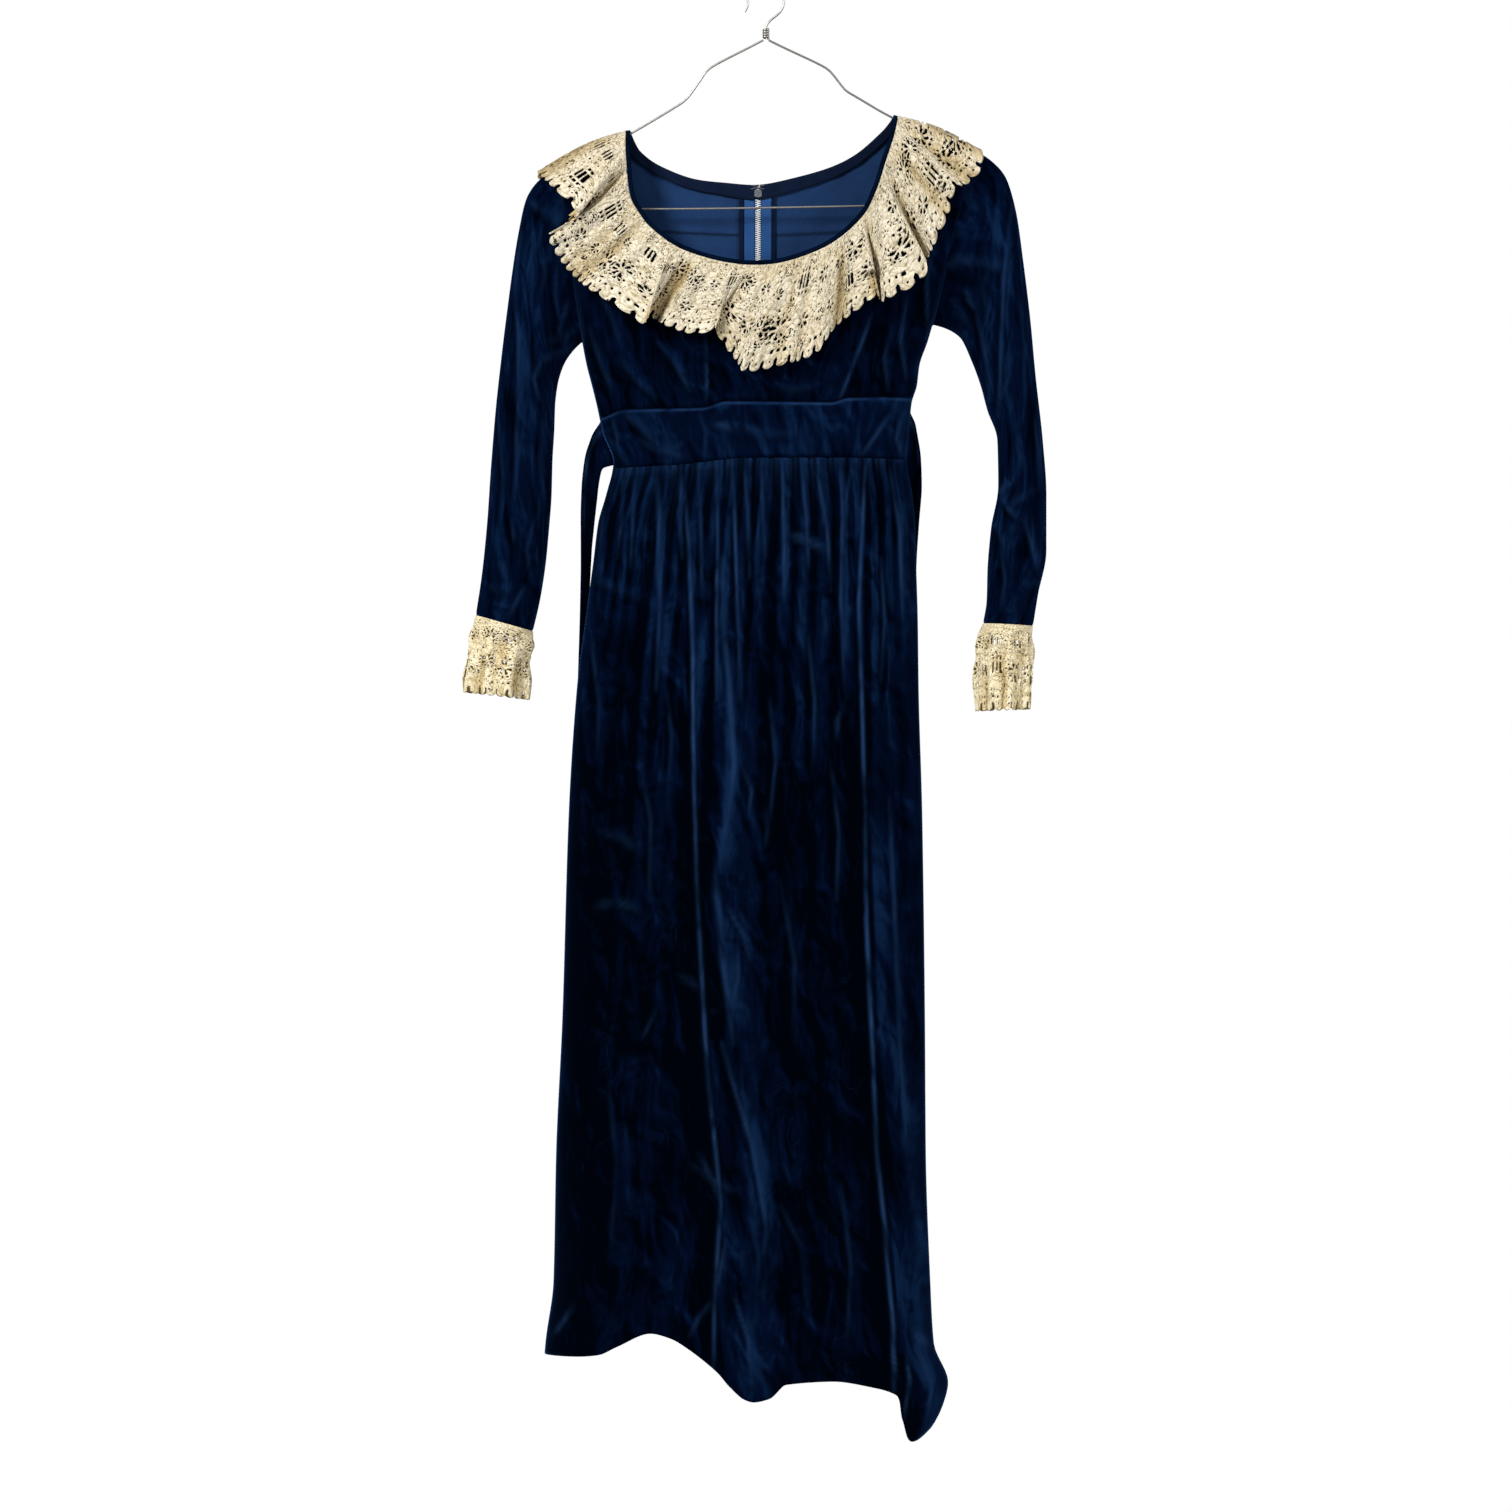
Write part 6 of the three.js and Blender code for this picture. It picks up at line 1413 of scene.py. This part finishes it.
def sleeve(side, creases, x_range, seed):
    outwards = -1 if side == "left" else 1
    wrinkles = scattered_creases(seed, 46, x_range, (-700, -230), 0.7)
    base = tube_place(SLEEVES[side], creases + wrinkles[:14], folds=wrinkles[14:])
    def place(across, down):
        points, out, painted_highlight, lit = base(across, down)
        points[:, 0] -= outwards * 3.2 * (1 - ease(down, 0, 0.012))  # sewn in under the bodice's edge
        rolls = seam_roll(down * SLEEVE_LONG, 1.0, 2.6) + seam_roll((1 - down) * SLEEVE_LONG, 0.9, 2.4)
        points += out * rolls[:, None]
        points[:, 2] += HALF_GAP * (down > 0.999)
        return points, out, painted_highlight, lit
    return cloth_piece(f"sleeve_{side}_velvet", 92, 150, place, (velvet, backing), VELVET,
                       [f"sleeve_{side}"], (0.33, 0.48), closed=True, lean=lambda x, z: 0.38 + 0 * x)


sleeves = [
    sleeve("left", SLEEVE_LEFT_CREASES, (-320, -235), 41),
    sleeve("right", SLEEVE_RIGHT_CREASES, (235, 315), 42),
]


def cuff(side, face, seed):
    draw = np.random.default_rng(seed)
    width = 86 if side == "left" else 94
    work = LaceWork(92, 112, width, seed)
    phase = draw.uniform(0, 6, 3)
    def waves(angle, down):
        grown = ease(down, 0, 0.9)
        gathers = 3.0 * np.cos(9 * angle + 0.8 * down) + 1.4 * np.sin(17 * angle + phase[0])
        crumples = 1.5 * np.sin(down * 8 + 5 * angle + phase[1])
        crumples = crumples + 0.9 * np.sin(down * 14 - 7 * angle + phase[2])
        return grown * gathers + crumples * np.minimum(1, down * 3)
    start, end = (0, 0.5) if face == "front" else (0.5, 1)
    base = tube_place(CUFFS[side], (), start, end, FACING[face] * HALF_GAP, waves)
    def place(across, down):
        points, out, painted_highlight, _ = base(across, down)
        points[:, 2] -= work.scallop(across) * ease(down, 0.86, 1)
        points[:, 2] -= HALF_GAP * (down < 0.001)
        points += out * work.look(across, down)[1][:, None] * 0.8
        angle = mix(start, end, across) * 2 * math.pi
        # painted light and shade: lighter where the gathers stand out, darker in their hollows
        return points, out, painted_highlight, 0.5 + 0.08 * waves(angle, down)
    return cloth_piece(
        f"cuff_{side}_{face}_lace", 84, 68, place, (cuff_lace, shaded_lace_wrong_side), LACE,
        [f"cuff_{side}_{face}"], (work.middle * MM, work.width * MM), work.gap,
    )


cuffs = [cuff(side, face, 50 + k) for k, (side, face) in enumerate(
    (side, face) for side in ("left", "right") for face in ("front", "back")
)]


# ---- ties ----
def tie(side):
    """A tie's strip: beside the dress from its side seam down, and then flat on the skirt's back."""
    rows = TIES[side]
    keys = np.linspace(0, 1, len(rows))
    table = np.column_stack([keys, rows])
    def skirt_y(x, z):
        share = (x - side_x(LEFT, z)) / (side_x(RIGHT, z) - side_x(LEFT, z))
        return body_depth("back", x, z) + back_relief(x, z, np.clip(share, 0, 1)) + TIE_CLEARANCE
    depths = rows[:, 4:6].copy()
    for depth, (_, _, in_x, in_z, _, _, on_skirt) in zip(depths, rows):
        if on_skirt:
            depth[:] = skirt_y(np.array([in_x]), np.array([in_z]))[0]
    depths = np.column_stack([keys, depths])
    inward, root, open_from, open_to, overlap = TIE_TUCK[side]
    def place(across, down):
        out_x, out_z, in_x, in_z = (along(table, down, k) for k in range(1, 5))
        x, z = mix(out_x, in_x, across), mix(out_z, in_z, across)
        sewn_in = 1 - ease(down, 0, 0.09)
        behind = across**2 * (1 - ease(down, open_from, open_to))
        x = x + inward * np.maximum(root * sewn_in, overlap * behind)
        y = mix(along(depths, down, 1), along(depths, down, 2), across)
        crown = TIE_WALL * (0.55 + 0.45 * (1 - np.abs(2 * across - 1) ** 5))
        ripple = 0.5 * np.sin(down * 31) + 0.4 * np.sin(across * 5 + down * 17)
        # painted highlight along the strip near its outer edge
        painted_highlight = 0.45 * np.exp(-(((across - 0.15) / 0.08) ** 2)) * (0.6 + 0.4 * np.sin(down * 40))
        y = HALF_GAP + y + crown + ripple * ease(down, 0, 0.1)
        return np.stack([x, y, z], axis=1), straight_out("back", len(x)), painted_highlight
    return cloth_piece(f"tie_{side}_velvet", 12, 150, place, (velvet,), TIE_WALL - 0.6,
                       [f"tie_{side}"], (0.03, 0.7))


ties = [tie("left"), tie("right")]


# ---- inside of the back: zip, tapes, facing, seam allowances ----
def back_inside(x, z):
    """Depth of the back's inner face, a little clear of the cloth."""
    return HALF_GAP + body_depth("back", x, z, VELVET) - 0.7


def inner_strip(name, from_x, to_x, top, bottom, wall, material, replaces, off=0.0):
    """A narrow strip flat against the inside of the back, and off further in."""
    def place(across, down):
        x, z = mix(from_x, to_x, across), mix(top, bottom, down)
        y = np.minimum(back_inside(0 * z + from_x, z), back_inside(0 * z + to_x, z)) - off
        return np.stack([x, y, z], axis=1), straight_out("back", len(x)), 0 * x
    return cloth_piece(name, 6, 110, place, (material,), wall, replaces,
                       (abs(to_x - from_x) * MM, (top - bottom) * MM))


TAPE_NEAR, TAPE_FAR = 3.3, 15.3  # a tape's edges, from the middle of the chain
ALLOWANCE_TOP, ALLOWANCE_BOTTOM = -232, -470
tapes = [
    inner_strip(f"zip_tape_{side}_weave", BACK_SEAM_X + low, BACK_SEAM_X + high, ZIP_TOP, ZIP_BOTTOM, 0.9, tape,
                [f"zip_tape_{side}"])
    for side, low, high in (("left", -TAPE_FAR, -TAPE_NEAR), ("right", TAPE_NEAR, TAPE_FAR))
]
for side, low, high, off in (("left", -30.5, -25, 0.3), ("right", 7.2, 10, 0.9)):
    inner_strip(f"seam_allowance_{side}", low, high, ALLOWANCE_TOP, ALLOWANCE_BOTTOM, 0.8, facing,
                [], off=off)


def neck_facing(side):
    """The dark facing inside the back neck, turned down from the binding."""
    start, end = (0.02, seam_share - 0.004) if side == "left" else (seam_share + 0.004, 0.98)
    def place(across, down):
        deep = mix(9.0, 17.0, np.clip(1 - np.abs(mix(start, end, across) - seam_share) / 0.5, 0, 1) ** 2)
        shares = mix(start, end, across)
        edge, low = (at_shares(neck_line("back", grow), shares) for grow in (1.2, BINDING_WIDTH + 0.4))
        way = low - edge
        way /= np.linalg.norm(way, axis=1)[:, None]
        x = edge[:, 0] + way[:, 0] * deep * down
        z = edge[:, 2] + way[:, 2] * deep * down
        y = HALF_GAP + body_depth("back", x, z, VELVET) - 2.1 - 0.4 * np.sin(across * 40) * down
        return np.stack([x, y, z], axis=1), straight_out("back", len(x)), 0 * x
    return cloth_piece(f"neck_facing_{side}", 70, 8, place, (facing,), 0.8, [], (0.24, 0.017))


facings = [neck_facing("left"), neck_facing("right")]


def zip_teeth():
    """Pressed teeth on both edges of the chain, in turn."""
    mesh = bmesh.new()
    pitch, tall = 2.4, 1.3  # drawn a little coarse, as real teeth are 1.2 mm apart
    count = int((ZIP_TOP - ZIP_BOTTOM - 4) / (pitch / 2))
    for k in range(count):
        z = ZIP_TOP - 1.5 - k * pitch / 2
        x = BACK_SEAM_X + (-1.1 if k % 2 else 1.1)
        y = back_inside(np.array([x]), np.array([z]))[0] - 1.1
        tooth = bmesh.ops.create_cube(mesh, size=1)["verts"]
        bmesh.ops.scale(mesh, verts=tooth, vec=(3.6 * MM, 2.0 * MM, tall * MM))
        for vert in tooth:
            if (vert.co.x > 0) == bool(k % 2):
                vert.co.z *= 0.6
        bmesh.ops.translate(mesh, verts=tooth, vec=(x * MM, y * MM, z * MM))
    piece = new_piece("zip_teeth", mesh, (teeth,), ["zip_chain"])
    bevel = piece.modifiers.new("worn edges", "BEVEL")
    bevel.width, bevel.segments = 0.0002, 1


zip_teeth()


# ---- wire ----
WIRE_RADIUS = 1.25
HOOK_RADIUS, HOOK_MIDDLE = 20.25, -19
TWIST_RADIUS, TWIST_TURNS = 2.85, 4.2
TWIST_BOTTOM, TWIST_HEIGHT = -61.2, 11.0


def wire_piece(name, points, radius, material, replaces, smooth_run=True, sides=3):
    """A round wire through points, in millimetres."""
    data = bpy.data.curves.new(name, "CURVE")
    data.dimensions = "3D"
    data.bevel_depth, data.bevel_resolution = radius * MM, sides
    data.use_fill_caps = True
    data.resolution_u = data.render_resolution_u = 8
    run = data.splines.new("NURBS" if smooth_run else "POLY")
    run.points.add(len(points) - 1)
    for spot, (x, y, z) in zip(run.points, points):
        spot.co = (x * MM, y * MM, z * MM, 1)
    if smooth_run:
        run.order_u, run.use_endpoint_u = 3, True
    piece = bpy.data.objects.new(name, data)
    bpy.context.scene.collection.objects.link(piece)
    data.materials.append(material)
    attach(piece, "dress")
    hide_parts(*replaces)
    return piece


wire_piece("hanger_wire", [(x, 0, z) for x, z in HANGER_RUN], WIRE_RADIUS, wire, ["hanger_frame"])
stem = [(0, -62), (0, -49), (0.6, -46.8), (2.6, -43.4), (6, -40.2)]
bow = [
    (HOOK_RADIUS * math.cos(math.radians(a)), HOOK_MIDDLE + HOOK_RADIUS * math.sin(math.radians(a)))
    for a in np.linspace(-50, 190, 30)
]
tip = [(-21.5, -27.5), (-24, -31.5)]
hook = wire_piece("hanger_hook_wire", [(x, 0, z) for x, z in stem + bow + tip], WIRE_RADIUS, wire,
                  ["hanger_hook"], smooth_run=False)
for spline in hook.data.splines:
    spline.use_smooth = True
coil = [
    (TWIST_RADIUS * math.cos(a), TWIST_RADIUS * math.sin(a),
     TWIST_BOTTOM + TWIST_HEIGHT * a / (2 * math.pi * TWIST_TURNS))
    for a in np.linspace(0, 2 * math.pi * TWIST_TURNS, 90)
]
wire_piece("hanger_twist_wire", coil, WIRE_RADIUS, wire, ["hanger_twist"], sides=2)

FASTENER_Z = -226
fastener_at = np.array([BACK_SEAM_X], float), np.array([FASTENER_Z], float)
fastener_y = HALF_GAP + body_depth("back", *fastener_at, 3.0)[0] - 1.2
hook_bends = [(-8, -1.8), (-6.4, -2.4), (-5, -1.2), (-0.8, -1.2), (0.2, 0), (-0.8, 1.2), (-5, 1.2), (-6.4, 2.4),
              (-8, 1.8)]
eye_bends = [(7, -1.8), (5.6, -2.4), (4.6, -1.4), (3, -1.8), (1.7, -0.9), (1.7, 0.9), (3, 1.8), (4.6, 1.4),
             (5.6, 2.4), (7, 1.8)]
for part, bends in (("neck_hook", hook_bends), ("neck_eye", eye_bends)):
    wire_piece(f"{part}_wire", [(BACK_SEAM_X + x, fastener_y, FASTENER_Z + z) for x, z in bends], 0.5, nickel,
               [part], sides=2)


for part in ("zip_slider", "zip_pull_tab"):
    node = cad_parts[part]
    node.data.materials.clear()
    node.data.materials.append(nickel)


# ---- the cloth pieces' flat sizes, holds and supports, listed; the loop only gathers each piece's extras ----
HANGER = "hanger_wire"
BACK_BODICES = ["back_bodice_left_velvet", "back_bodice_right_velvet"]
BACK_BANDS = ["band_back_left_velvet", "band_back_right_velvet"]
# pieces, flat width and length in metres, how they are held, what they rest on, and the flat area
# of one where its outline isn't the whole rectangle
SHEETS = (
    ([skirt_front], (0.50, 1.07), "gathered", ["band_front_velvet"], 0.5),
    (skirt_backs, (0.27, 1.06), "gathered", BACK_BANDS, 0.26),
    (bands[:1], (0.38, 0.075), "hung", ["front_bodice_velvet"], 0.025),
    (bands[1:], (0.19, 0.075), "hung", BACK_BODICES, 0.0125),
    (bodices[:1], (0.52, 0.32), "hung", [HANGER], 0.1),
    (bodices[1:], (0.26, 0.32), "hung", [HANGER], 0.06),
    (bindings[:1], (0.40, 0.0105), "stretched", [HANGER], None),
    (bindings[1:], (0.14, 0.0105), "stretched", [HANGER], None),
    (ruffles[:1], (1.06, 0.09), "gathered", ["front_bodice_velvet"], 0.08),
    (ruffles[1:], (0.42, 0.088), "gathered", BACK_BODICES, None),
    (sleeves, (0.30, 0.50), "hung", ["front_bodice_velvet"], 0.1),
    (cuffs, (0.15, 0.095), "gathered", ["sleeve_left_velvet", "sleeve_right_velvet"], 0.0115),
    (ties, (0.03, 0.70), "hung", BACK_BANDS, None),
    (tapes, (0.012, 0.5), "hung", BACK_BODICES, None),
    (facings, (0.16, 0.016), "hung", ["binding_back_left_strip", "binding_back_right_strip"], None),
)
SEWN_ON = {
    "back_bodice_left_velvet": "seam_allowance_left",
    "back_bodice_right_velvet": "seam_allowance_right",
}
for cloths, flat, held, rests_on, area in SHEETS:
    for piece in cloths:
        extra = {"area": area} if area else {}
        if piece.name in SEWN_ON:
            extra["with_pieces"] = [SEWN_ON[piece.name]]


# ---- floor, light, camera ----
FLOOR_Z, FLOOR_RADIUS = -1.79, 0.62  # in metres, clear of the hem


def floor():
    mesh = bmesh.new()
    bmesh.ops.create_circle(mesh, cap_ends=True, segments=96, radius=FLOOR_RADIUS)
    bmesh.ops.translate(mesh, verts=mesh.verts, vec=(0, 0, FLOOR_Z))
    data = bpy.data.meshes.new("floor")
    mesh.to_mesh(data)
    mesh.free()
    piece = bpy.data.objects.new("floor", data)
    bpy.context.scene.collection.objects.link(piece)
    material, shader = new_material("pale floor", Roughness=0.8)
    shader.inputs["Base Color"].default_value = linear("#F7F7F5")
    data.materials.append(material)


floor()
scene = bpy.context.scene
scene.view_settings.view_transform = "Standard"

world = bpy.data.worlds.new("white room")
scene.world = world
world.use_nodes = True
room = world.node_tree
backdrop = room.nodes["Background"]
backdrop.inputs["Color"].default_value = (1, 1, 1, 1)
# the walls are white behind the dress and give it only a soft part of their light
seen = room.nodes.new("ShaderNodeLightPath")
strength = room.nodes.new("ShaderNodeMapRange")
strength.inputs["To Min"].default_value, strength.inputs["To Max"].default_value = 0.32, 1.0
room.links.new(seen.outputs["Is Camera Ray"], strength.inputs["Value"])
room.links.new(strength.outputs["Result"], backdrop.inputs["Strength"])


def soft_light(name, place, target, size, power):
    data = bpy.data.lights.new(name, "AREA")
    data.shape, data.size, data.energy = "DISK", size, power
    lamp = bpy.data.objects.new(name, data)
    lamp.location = place
    lamp.rotation_euler = (Vector(target) - Vector(place)).to_track_quat("-Z", "Y").to_euler()
    scene.collection.objects.link(lamp)


soft_light("window light", (-2.4, -2.4, 1.3), (0, 0, -0.7), 1.0, 190)
soft_light("fill light", (2.8, -1.6, 0.3), (0, 0, -0.8), 1.4, 78)
soft_light("back light", (0.5, 3.0, 0.4), (0, 0, -0.7), 1.6, 28)

CAMERA_AWAY = 7.0
FRAME_WIDE = 1.693  # what the view takes in at the side seams' plane
SENSOR = 36  # in millimetres
camera = bpy.data.objects.new("camera", bpy.data.cameras.new("camera"))
camera.data.sensor_width = SENSOR
camera.data.lens = SENSOR * CAMERA_AWAY / FRAME_WIDE
camera.data.clip_end = 60
camera.location = (-0.0112, -CAMERA_AWAY, -0.8646)
camera.rotation_euler = (math.radians(90), 0, 0)
scene.collection.objects.link(camera)
scene.camera = camera

bpy.context.view_layer.update()
